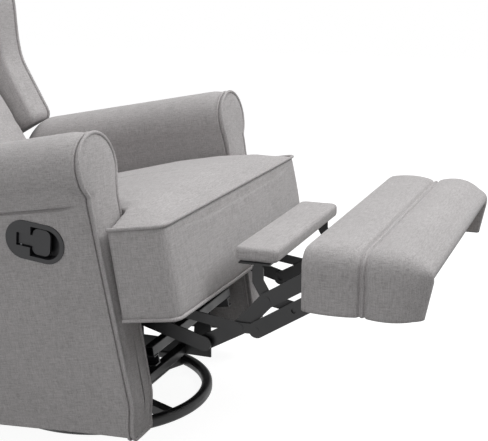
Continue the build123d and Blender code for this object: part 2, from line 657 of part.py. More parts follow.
# ---------------------------------------------------------------- flipper, drawn in world side view
flipper_front = FLIPPER_BACK + FLIPPER_LENGTH
flipper_pad_bottom = FLIPPER_TOP - FLIPPER_THICKNESS
flipper_board_bottom = flipper_pad_bottom - FLIPPER_BOARD_THICKNESS
flipper_eye = to_world(flipper_pin)
flipper_control_eye = to_world(flipper_control_pin)
strap_x = layer(6)
strap_top = flipper_board_bottom - FLIPPER_STRAP_WIDTH / 2
flipper_arm = link_plate(
    strap_x,
    ((FLIPPER_STRAP_FORWARD, strap_top), (FLIPPER_STRAP_FORWARD, FLIPPER_STRAP_BEND),
     flipper_eye, flipper_control_eye),
    FLIPPER_STRAP_WIDTH, (flipper_eye,), hole,
)
with BuildPart() as flipper_foot:
    with BuildSketch(SIDE.offset(strap_x - FLIPPER_FOOT_REACH)):
        with BuildLine():
            Polyline(
                (FLIPPER_BACK + 12, flipper_board_bottom - LINK_THICKNESS),
                (flipper_front - 12, flipper_board_bottom - LINK_THICKNESS),
                (flipper_front - 12, flipper_board_bottom), (FLIPPER_BACK + 12, flipper_board_bottom),
                close=True,
            )
        make_face()
    extrude(amount=FLIPPER_FOOT_REACH + LINK_THICKNESS)
flipper_stud = pin(
    strap_x + LINK_THICKNESS, stud_end - strap_x - LINK_THICKNESS, (flipper_control_eye,),
    LINK_PIN_RADIUS,
)
write("flipper_brackets", both_sides(flipper_arm + flipper_foot.part + flipper_stud))
flipper_board_half = FLIPPER_HALF_WIDTH - 2 * FLIPPER_BOARD_INSET
write("flipper_board", side_box(
    -flipper_board_half, flipper_board_half, FLIPPER_BACK + FLIPPER_BOARD_INSET,
    flipper_front - FLIPPER_BOARD_INSET, flipper_board_bottom, flipper_pad_bottom,
))
with BuildPart() as flipper_pad:
    with BuildSketch(Plane.XY.offset(flipper_pad_bottom + CLOTH_CLEARANCE)):
        with Locations((0, -(FLIPPER_BACK + flipper_front) / 2)):
            RectangleRounded(2 * FLIPPER_HALF_WIDTH, FLIPPER_LENGTH, 6)
    extrude(amount=FLIPPER_THICKNESS - CLOTH_CLEARANCE)
    fillet(flipper_pad.faces().sort_by(Axis.Z)[-1].edges(), 6)
write("flipper_pad", flipper_pad.part)

# ---------------------------------------------------------------- seat frame
rail_inner = rail_outer - RAIL_WIDTH
front_rail_front = SEAT_FRONT - SEAT_PANEL_THICKNESS - CLOTH_CLEARANCE
front_rail_back = front_rail_front - RAIL_WIDTH
side_rail = side_box(
    -rail_outer, -rail_inner, ARM_BACK + ARM_FRAME_SETBACK, front_rail_back,
    rail_bottom_level, rail_top_level,
)
write("seat_side_rails", both_sides(side_rail), BODY_POSE)
front_rail_half = SEAT_EAR_HALF_WIDTH - SEAT_PANEL_THICKNESS - CLOTH_CLEARANCE
write("seat_front_rail", side_box(
    -front_rail_half, front_rail_half, front_rail_back, front_rail_front,
    rail_bottom_level, rail_top_level,
), BODY_POSE)
write("seat_rear_rail", side_box(
    -rail_inner, rail_inner, SEAT_REAR_RAIL, SEAT_REAR_RAIL + RAIL_WIDTH,
    rail_bottom_level, rail_top_level,
), BODY_POSE)

# sinuous springs lie on the rails, one wire each
spring_level = rail_top_level + SPRING_WIRE / 2
spring_back = SEAT_REAR_RAIL + RAIL_WIDTH / 2
spring_turns = int((front_rail_front - 12 - spring_back) / SPRING_PITCH * 2)
springs = Part()
for column in range(SPRING_COUNT):
    middle = (column - (SPRING_COUNT - 1) / 2) * SPRING_SPACING
    points = [(middle, -spring_back)]
    for turn in range(spring_turns):
        side = SPRING_WAVE / 2 * (-1) ** turn
        along = spring_back + (turn + 0.5) * SPRING_PITCH / 2
        points += [(middle + side, -along + 6), (middle + side, -along - 6)]
    points.append((middle, -(spring_back + spring_turns * SPRING_PITCH / 2)))
    with BuildPart() as spring:
        with BuildLine(Plane.XY.offset(spring_level)) as wire:
            FilletPolyline(*points, radius=5)
        with BuildSketch(Plane(origin=wire.line @ 0, z_dir=wire.line % 0)):
            RegularPolygon(SPRING_WIRE / 2, 4)
        sweep()
    springs += spring.part
write("seat_springs", springs, BODY_POSE)

# ---------------------------------------------------------------- seat upholstery
cushion_bottom = spring_level + SPRING_WIRE / 2 + CLOTH_CLEARANCE
cushion_half = ARM_INNER - 2 * CLOTH_CLEARANCE
with BuildPart() as seat_cushion:
    with BuildSketch(Plane.XY.offset(cushion_bottom)):
        with BuildLine():
            Polyline(
                (-SEAT_EAR_HALF_WIDTH, -SEAT_FRONT), (SEAT_EAR_HALF_WIDTH, -SEAT_FRONT),
                (SEAT_EAR_HALF_WIDTH, -SEAT_EAR_BACK), (cushion_half, -SEAT_EAR_BACK),
                (cushion_half, 200), (-cushion_half, 200),
                (-cushion_half, -SEAT_EAR_BACK), (-SEAT_EAR_HALF_WIDTH, -SEAT_EAR_BACK), close=True,
            )
        make_face()
    extrude(amount=160)
    ear_edges = seat_cushion.edges().filter_by(Axis.Z).group_by(Axis.Y)[0]
    fillet(ear_edges, 14)
    with BuildSketch(SIDE.offset(-400)):
        with BuildLine():
            Polyline(
                (SEAT_REAR, SEAT_REAR_TOP), (SEAT_REAR + 40, cushion_bottom),
                (SEAT_FRONT, cushion_bottom), (SEAT_FRONT, SEAT_FRONT_SEAM),
            )
            Spline(
                (SEAT_FRONT, SEAT_FRONT_SEAM), (SEAT_FRONT - 50, SEAT_FRONT_SEAM + 21),
                (SEAT_CROWN_FORWARD, SEAT_CROWN), (0, SEAT_CROWN - 7), (SEAT_REAR, SEAT_REAR_TOP),
            )
        make_face()
    extrude(amount=800, mode=Mode.INTERSECT)
write("seat_cushion", seat_cushion.part, BODY_POSE)

with BuildPart() as seat_front_panel:
    with BuildSketch(Plane.XY.offset(SEAT_EAR_BOTTOM)):
        with BuildLine():
            Polyline(
                (-SEAT_EAR_HALF_WIDTH, -SEAT_FRONT), (SEAT_EAR_HALF_WIDTH, -SEAT_FRONT),
                (SEAT_EAR_HALF_WIDTH, -SEAT_EAR_BACK),
                (SEAT_EAR_HALF_WIDTH - SEAT_PANEL_THICKNESS, -SEAT_EAR_BACK),
                (SEAT_EAR_HALF_WIDTH - SEAT_PANEL_THICKNESS, -SEAT_FRONT + SEAT_PANEL_THICKNESS),
                (-SEAT_EAR_HALF_WIDTH + SEAT_PANEL_THICKNESS, -SEAT_FRONT + SEAT_PANEL_THICKNESS),
                (-SEAT_EAR_HALF_WIDTH + SEAT_PANEL_THICKNESS, -SEAT_EAR_BACK),
                (-SEAT_EAR_HALF_WIDTH, -SEAT_EAR_BACK), close=True,
            )
        make_face()
    extrude(amount=cushion_bottom - CLOTH_CLEARANCE - SEAT_EAR_BOTTOM)
    panel_edges = seat_front_panel.edges().filter_by(Axis.Z).group_by(Axis.Y)[0]
    fillet(panel_edges, 14)
write("seat_front_panel", seat_front_panel.part, BODY_POSE)

# ---------------------------------------------------------------- arms
panel_back = ARM_FRONT - ARM_PANEL_THICKNESS
neck_outer = ARM_BOTTOM_OUTER + ARM_NECK_SPREAD
roll_back = (ARM_BACK, ROLL_BACK_TOP - ROLL_HEIGHT / 2)
roll_front = (panel_back - CLOTH_CLEARANCE, ROLL_FRONT_TOP - ROLL_HEIGHT / 2)
ROLL = Plane(
    origin=(-ROLL_CENTRE_X, -roll_back[0], roll_back[1]),
    x_dir=(1, 0, 0),
    z_dir=(0, roll_back[0] - roll_front[0], roll_front[1] - roll_back[1]),
)
roll_inner = ROLL_CENTRE_X - ROLL_HALF_WIDTH + ROLL_INNER_TUCK[0]
roll_length = ARM_FRONT - ARM_BACK


def arm_length(back, front):
    """A right-hand arm between two places along the chair: the tapered body under its roll."""
    with BuildPart() as flank:
        with BuildSketch(Plane.XZ.offset(back)):
            with BuildLine():
                Polyline(
                    (-ARM_INNER, ARM_BOTTOM), (-ARM_BOTTOM_OUTER, ARM_BOTTOM),
                    (-neck_outer, ARM_NECK), (-ROLL_CENTRE_X, roll_back[1]),
                    (-roll_inner, roll_back[1] - ROLL_INNER_TUCK[1]), (-ARM_INNER, ARM_NECK),
                    close=True,
                )
            make_face()
        extrude(amount=front - back)
    with BuildPart() as roll:
        with BuildSketch(ROLL.offset(-roll_length / 2)):
            Ellipse(ROLL_HALF_WIDTH, ROLL_HEIGHT / 2)
        extrude(amount=2 * roll_length)
    # seen from the side the arm is square in front and rounded off at the top of its rear end
    with BuildPart() as side_view:
        with BuildSketch(SIDE) as profile:
            with BuildLine():
                Polyline(
                    (ARM_BACK, 0), (ARM_FRONT, 0), (ARM_FRONT, ROLL_FRONT_TOP),
                    (ARM_BACK, ROLL_BACK_TOP), close=True,
                )
            make_face()
            rear_top = profile.vertices().group_by(Axis.X)[0].sort_by(Axis.Y)[-1]
            fillet(rear_top, ROLL_REAR_ROUNDING)
        extrude(amount=ROLL_CENTRE_X + 2 * ROLL_HALF_WIDTH)
    stretch = side_box(-ROLL_CENTRE_X - 2 * ROLL_HALF_WIDTH, 0, back, front, 0, ROLL_FRONT_TOP + 1)
    return (flank.part + roll.part) & (side_view.part & stretch)


cup_x = ARM_BOTTOM_OUTER + (LEVER_UP - ARM_BOTTOM) * ARM_NECK_SPREAD / (ARM_NECK - ARM_BOTTOM)
turn = radians(LEVER_TURN)
lean = atan2(ARM_NECK_SPREAD, ARM_NECK - ARM_BOTTOM)
# local x forward and down along the cup, local y up, local z out of the arm
CUP = Plane(
    origin=(-cup_x, -LEVER_FORWARD, LEVER_UP),
    x_dir=(sin(turn) * sin(lean), -cos(turn), -sin(turn) * cos(lean)),
    z_dir=(-cos(lean), 0, -sin(lean)),
)
bowl_length = CUP_LENGTH - 2 * CUP_RIM
bowl_height = CUP_HEIGHT - 2 * CUP_RIM


plain_arm = arm_length(ARM_BACK, panel_back - CLOTH_CLEARANCE)
with BuildPart() as cup_pocket:
    with BuildSketch(CUP):
        SlotOverall(bowl_length, bowl_height)
    extrude(amount=-CUP_DEPTH)
    with BuildSketch(CUP):
        SlotOverall(CUP_LENGTH, CUP_HEIGHT)
    extrude(amount=CUP_DEPTH)
write("arm_right", plain_arm - cup_pocket.part, BODY_POSE)
write("arm_left", mirror(plain_arm, about=Plane.YZ), BODY_POSE)
write_pair("arm_front_panel", arm_length(panel_back, ARM_FRONT), BODY_POSE)

write("rear_body_panel", side_box(
    -cushion_half, cushion_half, ARM_BACK, ARM_BACK + ARM_PANEL_THICKNESS, REAR_PANEL_BOTTOM,
    REAR_PANEL_TOP,
), BODY_POSE)

# ---------------------------------------------------------------- release lever
with BuildPart() as lever_cup:
    with BuildSketch(CUP):
        SlotOverall(CUP_LENGTH, CUP_HEIGHT)
    extrude(amount=CUP_FLANGE)
    with BuildSketch(CUP):
        SlotOverall(bowl_length, bowl_height)
    extrude(amount=-CUP_DEPTH)
    # a wide well for the fingers, and behind it a slot for the paddle's stem
    with BuildSketch(CUP.offset(CUP_FLANGE)):
        SlotOverall(bowl_length - 2 * CUP_WALL, bowl_height - 2 * CUP_WALL)
        with Locations((CUP_WELL_BACK + bowl_length / 2, 0)):
            Rectangle(bowl_length, bowl_height, mode=Mode.INTERSECT)
        with Locations(((CUP_SLOT_BACK + CUP_WELL_BACK) / 2, 0)):
            Rectangle(CUP_WELL_BACK - CUP_SLOT_BACK, PADDLE_STEM + 2 * PADDLE_GAP)
    extrude(amount=-(CUP_FLANGE + CUP_DEPTH - CUP_WALL), mode=Mode.SUBTRACT)
paddle_axis = Plane(
    origin=CUP.from_local_coords((PADDLE_PIN_BACK, -PADDLE_PIN_REACH, PADDLE_AXIS_DEPTH)),
    x_dir=CUP.x_dir, z_dir=CUP.y_dir,
)
with BuildPart() as lever_pin:
    with BuildSketch(paddle_axis):
        Circle(PADDLE_PIN_RADIUS)
    extrude(amount=2 * PADDLE_PIN_REACH)
write("lever_pin", lever_pin.part, BODY_POSE)
write("lever_cup", lever_cup.part - lever_pin.part, BODY_POSE)

stem_back = PADDLE_PIN_BACK - PADDLE_TAIL
with BuildPart() as release_paddle:
    with BuildSketch(CUP.offset(PADDLE_AXIS_DEPTH - PADDLE_THICKNESS / 2)):
        with Locations(((PADDLE_BACK + PADDLE_FRONT) / 2, 0)):
            RectangleRounded(PADDLE_FRONT - PADDLE_BACK, PADDLE_WIDE, PADDLE_CORNER)
        with Locations((stem_back / 2, 0)):
            Rectangle(-stem_back, PADDLE_STEM)
    extrude(amount=PADDLE_THICKNESS)
    with BuildSketch(paddle_axis):
        Circle(PADDLE_PIN_RADIUS + RUNNING_CLEARANCE)
    extrude(amount=2 * PADDLE_PIN_REACH, mode=Mode.SUBTRACT)
write("release_paddle", release_paddle.part, BODY_POSE)

# ---------------------------------------------------------------- back, in its own frame
back_pins = headed_pin(
    BACK_FRAME_HALF_WIDTH + PIN_END_GAP, root_outer, 1, ROOT_HEAD, (BACK_PIVOT,), BACK_PIN_RADIUS,
)
write("back_pivot_pins", both_sides(back_pins), BODY_POSE)

hinge = link_plate(
    layer(1), ((0, 0), (BACK_HINGE_SET, 20), (BACK_HINGE_SET, BACK_HINGE_LENGTH)),
    BACK_HINGE_WIDTH, ((0, 0),),
    BACK_PIN_RADIUS + RUNNING_CLEARANCE,
)
write("back_hinges", both_sides(hinge), BACK_POSE)

frame_back = -BACK_FRAME_DEPTH
back_frame = side_box(
    -BACK_FRAME_HALF_WIDTH, BACK_FRAME_HALF_WIDTH, frame_back, 0, BACK_FRAME_BOTTOM, BACK_FRAME_TOP,
)
write("back_frame", back_frame, BACK_POSE)

shell_front = frame_back
low_half = ARM_INNER - BACK_SIDE_GAP
with BuildPart() as outside_back:
    with BuildSketch(Plane.XZ.offset(shell_front - BACK_SHELL_THICKNESS)):
        with BuildLine():
            Polyline(
                (-low_half, BACK_BOTTOM), (low_half, BACK_BOTTOM), (low_half, BACK_FLARE),
                (BACK_HALF_WIDTH, BACK_FLARE + BACK_FLARE_RISE),
                (BACK_HALF_WIDTH, BACK_HEIGHT - BACK_CORNER[1]),
                (BACK_HALF_WIDTH - BACK_CORNER[0], BACK_HEIGHT),
                (-BACK_HALF_WIDTH + BACK_CORNER[0], BACK_HEIGHT),
                (-BACK_HALF_WIDTH, BACK_HEIGHT - BACK_CORNER[1]),
                (-BACK_HALF_WIDTH, BACK_FLARE + BACK_FLARE_RISE), (-low_half, BACK_FLARE), close=True,
            )
        make_face()
    extrude(amount=BACK_SHELL_THICKNESS)
write("outside_back", outside_back.part, BACK_POSE)

with BuildPart() as back_cushion:
    with BuildSketch(SIDE.offset(-BACK_CUSHION_HALF_WIDTH)):
        with BuildLine():
            Polyline(
                (CLOTH_CLEARANCE, BACK_CUSHION_BOTTOM), (BACK_CUSHION_DEPTH - 12, BACK_CUSHION_BOTTOM),
                (BACK_CUSHION_DEPTH, BACK_CUSHION_BOTTOM + 30), (BACK_CUSHION_DEPTH, BACK_HEIGHT - 40),
                (BACK_CUSHION_DEPTH - 40, BACK_HEIGHT - 6), (CLOTH_CLEARANCE, BACK_HEIGHT), close=True,
            )
        make_face()
    extrude(amount=2 * BACK_CUSHION_HALF_WIDTH)
write("back_cushion", back_cushion.part, BACK_POSE)

with BuildPart() as wing:
    with BuildSketch(SIDE.offset(WING_INNER)):
        with BuildLine():
            Polyline(
                (shell_front + CLOTH_CLEARANCE, WING_BOTTOM), (WING_LOW_DEPTH, WING_BOTTOM),
                *WING_SWEEP, (WING_HIGH_DEPTH, 640), (WING_HIGH_DEPTH, 700), (185, 745), (60, BACK_HEIGHT),
                (shell_front + CLOTH_CLEARANCE, BACK_HEIGHT - 45), close=True,
            )
        make_face()
    extrude(amount=BACK_HALF_WIDTH - WING_INNER)
write_pair("wing", wing.part, BACK_POSE)
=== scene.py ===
"""Swivel glider recliner: upholstery, finishes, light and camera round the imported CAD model.

Lengths are millimetres in the sizes below and metres in the meshes. Shapes are worked out in the
upright frame of the body, as (across, forward, up), and are then tipped back with the glide.
"""

import json
import logging
from collections.abc import Callable
from dataclasses import dataclass, field
from enum import Enum
from math import radians

import bmesh
import bpy
import numpy as np
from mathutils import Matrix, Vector

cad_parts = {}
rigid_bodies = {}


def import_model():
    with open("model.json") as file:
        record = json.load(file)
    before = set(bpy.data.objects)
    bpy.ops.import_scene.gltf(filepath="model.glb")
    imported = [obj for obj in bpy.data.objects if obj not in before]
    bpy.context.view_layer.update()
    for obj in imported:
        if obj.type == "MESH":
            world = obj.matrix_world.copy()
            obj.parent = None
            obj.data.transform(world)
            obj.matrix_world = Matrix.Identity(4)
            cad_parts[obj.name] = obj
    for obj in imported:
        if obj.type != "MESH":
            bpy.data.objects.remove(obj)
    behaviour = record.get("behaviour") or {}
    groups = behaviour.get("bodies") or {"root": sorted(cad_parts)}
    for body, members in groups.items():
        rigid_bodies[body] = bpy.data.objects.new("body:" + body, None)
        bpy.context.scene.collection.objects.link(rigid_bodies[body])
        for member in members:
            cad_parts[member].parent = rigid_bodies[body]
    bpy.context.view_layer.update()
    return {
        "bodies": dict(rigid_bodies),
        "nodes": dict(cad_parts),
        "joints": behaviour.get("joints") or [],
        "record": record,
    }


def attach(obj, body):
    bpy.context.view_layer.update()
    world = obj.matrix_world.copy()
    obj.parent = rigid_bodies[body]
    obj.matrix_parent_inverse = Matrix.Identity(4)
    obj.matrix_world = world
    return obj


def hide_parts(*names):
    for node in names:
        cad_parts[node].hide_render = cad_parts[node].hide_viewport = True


log = logging.getLogger("recliner")

Array = np.ndarray
Carry = Callable[[Array], Array]


class Body(str, Enum):
    """The CAD bodies that new pieces ride on."""

    CARRIAGE = "carriage"
    BACK = "back"
    FOOTREST = "footrest"
    FLIPPER = "flipper"


class Slot(str, Enum):
    """Material slots of the record."""

    UPHOLSTERY = "upholstery"
    TIMBER = "timber"
    BLACK_STEEL = "black_steel"
    GREY_STEEL = "grey_steel"
    BRIGHT_STEEL = "bright_steel"
    LEVER_PLASTIC = "lever_plastic"


# ---------------------------------------------------------------- colour and nodes
def linear(hex_colour: str) -> tuple[float, float, float, float]:
    """Turn an sRGB hex value such as "#8a8a8a" into linear RGBA.

    Args:
        hex_colour: the colour as the eye sees it.

    Returns:
        Linear red, green, blue and an alpha of 1.
    """
    values = [int(hex_colour[i : i + 2], 16) / 255 for i in (1, 3, 5)]
    red, green, blue = (v / 12.92 if v <= 0.04045 else ((v + 0.055) / 1.055) ** 2.4 for v in values)
    return (red, green, blue, 1.0)


def node(tree: bpy.types.NodeTree, kind: str, inputs: dict | None = None, **settings) -> bpy.types.Node:
    """Add a node with its settings and links.

    Args:
        tree: the node tree.
        kind: the node's type name.
        inputs: socket name or number to a value, or to the output socket it is linked from.
        settings: attributes of the node.

    Returns:
        The new node.
    """
    made = tree.nodes.new(kind)
    for key, value in settings.items():
        setattr(made, key, value)
    for key, value in (inputs or {}).items():
        if isinstance(value, bpy.types.NodeSocket):
            tree.links.new(value, made.inputs[key])
        else:
            made.inputs[key].default_value = value
    return made


def blank_material(name: str) -> tuple[bpy.types.Material, bpy.types.NodeTree]:
    """Make an empty node material and return it with its tree."""
    material = bpy.data.materials.new(name)
    material.use_nodes = True
    material.node_tree.nodes.clear()
    return material, material.node_tree


@dataclass(frozen=True)
class WovenFabric:
    """Woven polyester with slubbed yarn, as on nursery chairs: matt, heathered, soft sheen."""

    name: str = "woven_polyester_heather_grey"
    light_yarn: str = "#c3c0c0"
    middle_yarn: str = "#b2afaf"
    dark_yarn: str = "#9b9797"
    yarn_mm: float = 1.6  # the real yarn is about 1 mm, too fine to show
    slub_mm: float = 18.0  # length of a thick place in a yarn
    turn_deg: float = 0.0  # of the weave about X, so that it follows the tipped body
    bump_mm: float = 0.35
    roughness: float = 0.92
    sheen: float = 0.25

    def build(self) -> bpy.types.Material:
        """Make the material: three sets of long thin noise, one along each axis, cross as threads."""
        material, tree = blank_material(self.name)
        place = node(tree, "ShaderNodeTexCoord")
        turned = node(
            tree, "ShaderNodeMapping",
            {"Vector": place.outputs["Object"], "Rotation": (radians(self.turn_deg), 0.0, 0.0)},
        )
        fine, long = 1000.0 / self.yarn_mm, 1000.0 / self.slub_mm
        threads = []
        for axis in range(3):
            scale = [fine] * 3
            scale[axis] = long
            stretched = node(
                tree, "ShaderNodeMapping", {"Vector": turned.outputs[0], "Scale": tuple(scale)}
            )
            noise = node(
                tree, "ShaderNodeTexNoise",
                {"Vector": stretched.outputs[0], "Scale": 1.0, "Detail": 2.0, "Roughness": 0.6},
            )
            threads.append(noise.outputs["Fac"])
        pair = node(tree, "ShaderNodeMath", {0: threads[0], 1: threads[1]}, operation="ADD")
        cross = node(tree, "ShaderNodeMath", {0: pair.outputs[0], 1: threads[2]}, operation="ADD")
        third = node(tree, "ShaderNodeMath", {0: cross.outputs[0], 1: 3.0}, operation="DIVIDE")
        ramp = node(tree, "ShaderNodeValToRGB", {"Fac": third.outputs[0]})
        ramp.color_ramp.elements[0].position = 0.38
        ramp.color_ramp.elements[0].color = linear(self.dark_yarn)
        ramp.color_ramp.elements[1].position = 0.62
        ramp.color_ramp.elements[1].color = linear(self.light_yarn)
        middle = ramp.color_ramp.elements.new(0.5)
        middle.color = linear(self.middle_yarn)
        # slow, faint clouding where the nap lies differently
        cloud = node(
            tree, "ShaderNodeTexNoise",
            {"Vector": turned.outputs[0], "Scale": 9.0, "Detail": 3.0, "Roughness": 0.55},
        )
        cloud_ramp = node(tree, "ShaderNodeMapRange", {
            "Value": cloud.outputs["Fac"], "From Min": 0.3, "From Max": 0.7, "To Min": 0.96, "To Max": 1.03,
        })
        tinted = node(
            tree, "ShaderNodeVectorMath",
            {0: ramp.outputs["Color"], "Scale": cloud_ramp.outputs[0]}, operation="SCALE",
        )
        bump = node(tree, "ShaderNodeBump", {
            "Height": third.outputs[0], "Strength": 0.55, "Distance": self.bump_mm / 1000,
        })
        bsdf = node(tree, "ShaderNodeBsdfPrincipled", {
            "Base Color": tinted.outputs[0], "Roughness": self.roughness, "Normal": bump.outputs[0],
            "Sheen Weight": self.sheen, "Sheen Roughness": 0.5, "Specular IOR Level": 0.25,
        })
        node(tree, "ShaderNodeOutputMaterial", {"Surface": bsdf.outputs[0]})
        return material


@dataclass(frozen=True)
class PaintedSteel:
    """Steel plate or tube under powder coat: fine orange peel, paler in slow patches."""

    name: str
    colour: str
    worn: str
    roughness: float = 0.42
    peel_mm: float = 1.2
    metallic: float = 0.0

    def build(self) -> bpy.types.Material:
        """Make the material: coat colour varied by slow noise, with a fine bump for the peel."""
        material, tree = blank_material(self.name)
        place = node(tree, "ShaderNodeTexCoord").outputs["Object"]
        patch = node(tree, "ShaderNodeTexNoise", {"Vector": place, "Scale": 22.0, "Detail": 6.0})
        ramp = node(tree, "ShaderNodeValToRGB", {"Fac": patch.outputs["Fac"]})
        ramp.color_ramp.elements[0].position = 0.45
        ramp.color_ramp.elements[0].color = linear(self.colour)
        ramp.color_ramp.elements[1].position = 0.8
        ramp.color_ramp.elements[1].color = linear(self.worn)
        peel = node(
            tree, "ShaderNodeTexNoise", {"Vector": place, "Scale": 1000 / self.peel_mm, "Detail": 2.0}
        )
        rough = node(tree, "ShaderNodeMapRange", {
            "Value": patch.outputs["Fac"], "From Min": 0.3, "From Max": 0.7,
            "To Min": self.roughness - 0.07, "To Max": self.roughness + 0.1,
        })
        bump = node(tree, "ShaderNodeBump", {
            "Height": peel.outputs["Fac"], "Strength": 0.25, "Distance": 0.0002,
        })
        bsdf = node(tree, "ShaderNodeBsdfPrincipled", {
            "Base Color": ramp.outputs["Color"], "Roughness": rough.outputs[0],
            "Metallic": self.metallic, "Normal": bump.outputs[0],
        })
        node(tree, "ShaderNodeOutputMaterial", {"Surface": bsdf.outputs[0]})
        return material


@dataclass(frozen=True)
class ZincSteel:
    """Drawn wire, bolts and ball races in bright zinc: a fine grain in the highlight."""

    name: str = "zinc_plated_steel"
    colour: str = "#b9bcc0"
    shade: str = "#8e9296"

    def build(self) -> bpy.types.Material:
        """Make the material: a metal whose colour and roughness follow fine drawing noise."""
        material, tree = blank_material(self.name)
        place = node(tree, "ShaderNodeTexCoord").outputs["Object"]
        grain = node(tree, "ShaderNodeTexNoise", {"Vector": place, "Scale": 180.0, "Detail": 4.0})
        ramp = node(tree, "ShaderNodeValToRGB", {"Fac": grain.outputs["Fac"]})
        ramp.color_ramp.elements[0].color = linear(self.shade)
        ramp.color_ramp.elements[1].color = linear(self.colour)
        rough = node(tree, "ShaderNodeMapRange", {
            "Value": grain.outputs["Fac"], "From Min": 0.3, "From Max": 0.7, "To Min": 0.28, "To Max": 0.42,
        })
        bsdf = node(tree, "ShaderNodeBsdfPrincipled", {
            "Base Color": ramp.outputs["Color"], "Metallic": 1.0, "Roughness": rough.outputs[0],
        })
        node(tree, "ShaderNodeOutputMaterial", {"Surface": bsdf.outputs[0]})
        return material


@dataclass(frozen=True)
class MouldedPlastic:
    """Injection-moulded ABS with a fine spark-eroded texture: satin black."""

    name: str = "moulded_abs_black"
    colour: str = "#1b1b1d"
    lit: str = "#27272a"
    grain_mm: float = 0.8

    def build(self) -> bpy.types.Material:
        """Make the material: near-black with an eroded bump that breaks up the highlight."""
        material, tree = blank_material(self.name)
        place = node(tree, "ShaderNodeTexCoord").outputs["Object"]
        grain = node(
            tree, "ShaderNodeTexNoise", {"Vector": place, "Scale": 1000 / self.grain_mm, "Detail": 3.0}
        )
        tone = node(tree, "ShaderNodeValToRGB", {"Fac": grain.outputs["Fac"]})
        tone.color_ramp.elements[0].color = linear(self.colour)
        tone.color_ramp.elements[1].color = linear(self.lit)
        bump = node(tree, "ShaderNodeBump", {
            "Height": grain.outputs["Fac"], "Strength": 0.3, "Distance": 0.0002,
        })
        bsdf = node(tree, "ShaderNodeBsdfPrincipled", {
            "Base Color": tone.outputs["Color"], "Roughness": 0.38, "Normal": bump.outputs[0],
        })
        node(tree, "ShaderNodeOutputMaterial", {"Surface": bsdf.outputs[0]})
        return material


@dataclass(frozen=True)
class Plywood:
    """Birch plywood and sawn pine of the hidden frame."""

    name: str = "sawn_pine"
    early: str = "#d8b98a"
    late: str = "#b98f5c"

    def build(self) -> bpy.types.Material:
        """Make the material: growth lines are noise stretched along X, with a faint bump."""
        material, tree = blank_material(self.name)
        place = node(tree, "ShaderNodeTexCoord").outputs["Object"]
        along = node(tree, "ShaderNodeMapping", {"Vector": place, "Scale": (6.0, 90.0, 90.0)})
        grain = node(tree, "ShaderNodeTexNoise", {"Vector": along.outputs[0], "Scale": 1.0, "Detail": 5.0})
        ramp = node(tree, "ShaderNodeValToRGB", {"Fac": grain.outputs["Fac"]})
        ramp.color_ramp.elements[0].position = 0.35
        ramp.color_ramp.elements[0].color = linear(self.late)
        ramp.color_ramp.elements[1].position = 0.65
        ramp.color_ramp.elements[1].color = linear(self.early)
        bump = node(tree, "ShaderNodeBump", {
            "Height": grain.outputs["Fac"], "Strength": 0.3, "Distance": 0.0004,
        })
        bsdf = node(tree, "ShaderNodeBsdfPrincipled", {
            "Base Color": ramp.outputs["Color"], "Roughness": 0.7, "Normal": bump.outputs[0],
        })
        node(tree, "ShaderNodeOutputMaterial", {"Surface": bsdf.outputs[0]})
        return material


# ---------------------------------------------------------------- frames
@dataclass(frozen=True)
class Tipped:
    """The tipped body frame: turns (across, forward, up) in millimetres into world metres."""

    tilt_deg: float = 9.04
    pivot: tuple[float, float] = (-265.0, 300.0)
    lean_deg: float = 20.0

    def body(self, points: Array) -> Array:
        """Place points of the upright body: forward and up turn by the tilt, forward becomes -Y."""
        tilt = radians(self.tilt_deg)
        across, forward, up = np.moveaxis(np.asarray(points, float), -1, 0)
        world_forward = forward * np.cos(tilt) - up * np.sin(tilt)
        world_up = up * np.cos(tilt) + forward * np.sin(tilt)
        return np.stack([across, -world_forward, world_up], -1) / 1000.0

    def back(self, points: Array) -> Array:
        """Place points of the back's own frame, whose origin is the recline pivot."""
        lean = radians(self.lean_deg)
        across, forward, up = np.moveaxis(np.asarray(points, float), -1, 0)
        body_forward = self.pivot[0] + forward * np.cos(lean) - up * np.sin(lean)
        body_up = self.pivot[1] + up * np.cos(lean) + forward * np.sin(lean)
        return self.body(np.stack([across, body_forward, body_up], -1))

    @staticmethod
    def level(points: Array) -> Array:
        """Place points that are given level with the floor."""
        across, forward, up = np.moveaxis(np.asarray(points, float), -1, 0)
        return np.stack([across, -forward, up], -1) / 1000.0


TIPPED = Tipped()


def placer(carry: Carry, order: list[int], side: float = 1.0) -> Carry:
    """Make the function that takes a panel's points to the world.

    Args:
        carry: the frame's own function for (across, forward, up).
        order: where across, forward and up stand in the panel's points.
        side: -1 turns the panel over to the sitter's right.

    Returns:
        A function from panel points to world points.
    """
    return lambda points: carry(points[..., order] * np.array([side, 1.0, 1.0]))


# ---------------------------------------------------------------- surfaces
def new_piece(name: str, vertices: Array, faces: list, material: bpy.types.Material) -> bpy.types.Object:
    """Put vertices and faces into a mesh object with outward normals and smooth shading.

    Args:
        name: the piece's name.
        vertices: an array of n by 3, in metres.
        faces: lists of vertex numbers.
        material: its finish.

    Returns:
        The linked object.
    """
    mesh = bpy.data.meshes.new(name)
    mesh.from_pydata(vertices.reshape(-1, 3).tolist(), [], faces)
    shell = bmesh.new()
    shell.from_mesh(mesh)
    bmesh.ops.remove_doubles(shell, verts=shell.verts, dist=1e-6)
    bmesh.ops.recalc_face_normals(shell, faces=shell.faces)
    shell.to_mesh(mesh)
    shell.free()
    mesh.materials.append(material)
    mesh.shade_smooth()
    piece = bpy.data.objects.new(name, mesh)
    bpy.context.scene.collection.objects.link(piece)
    return piece


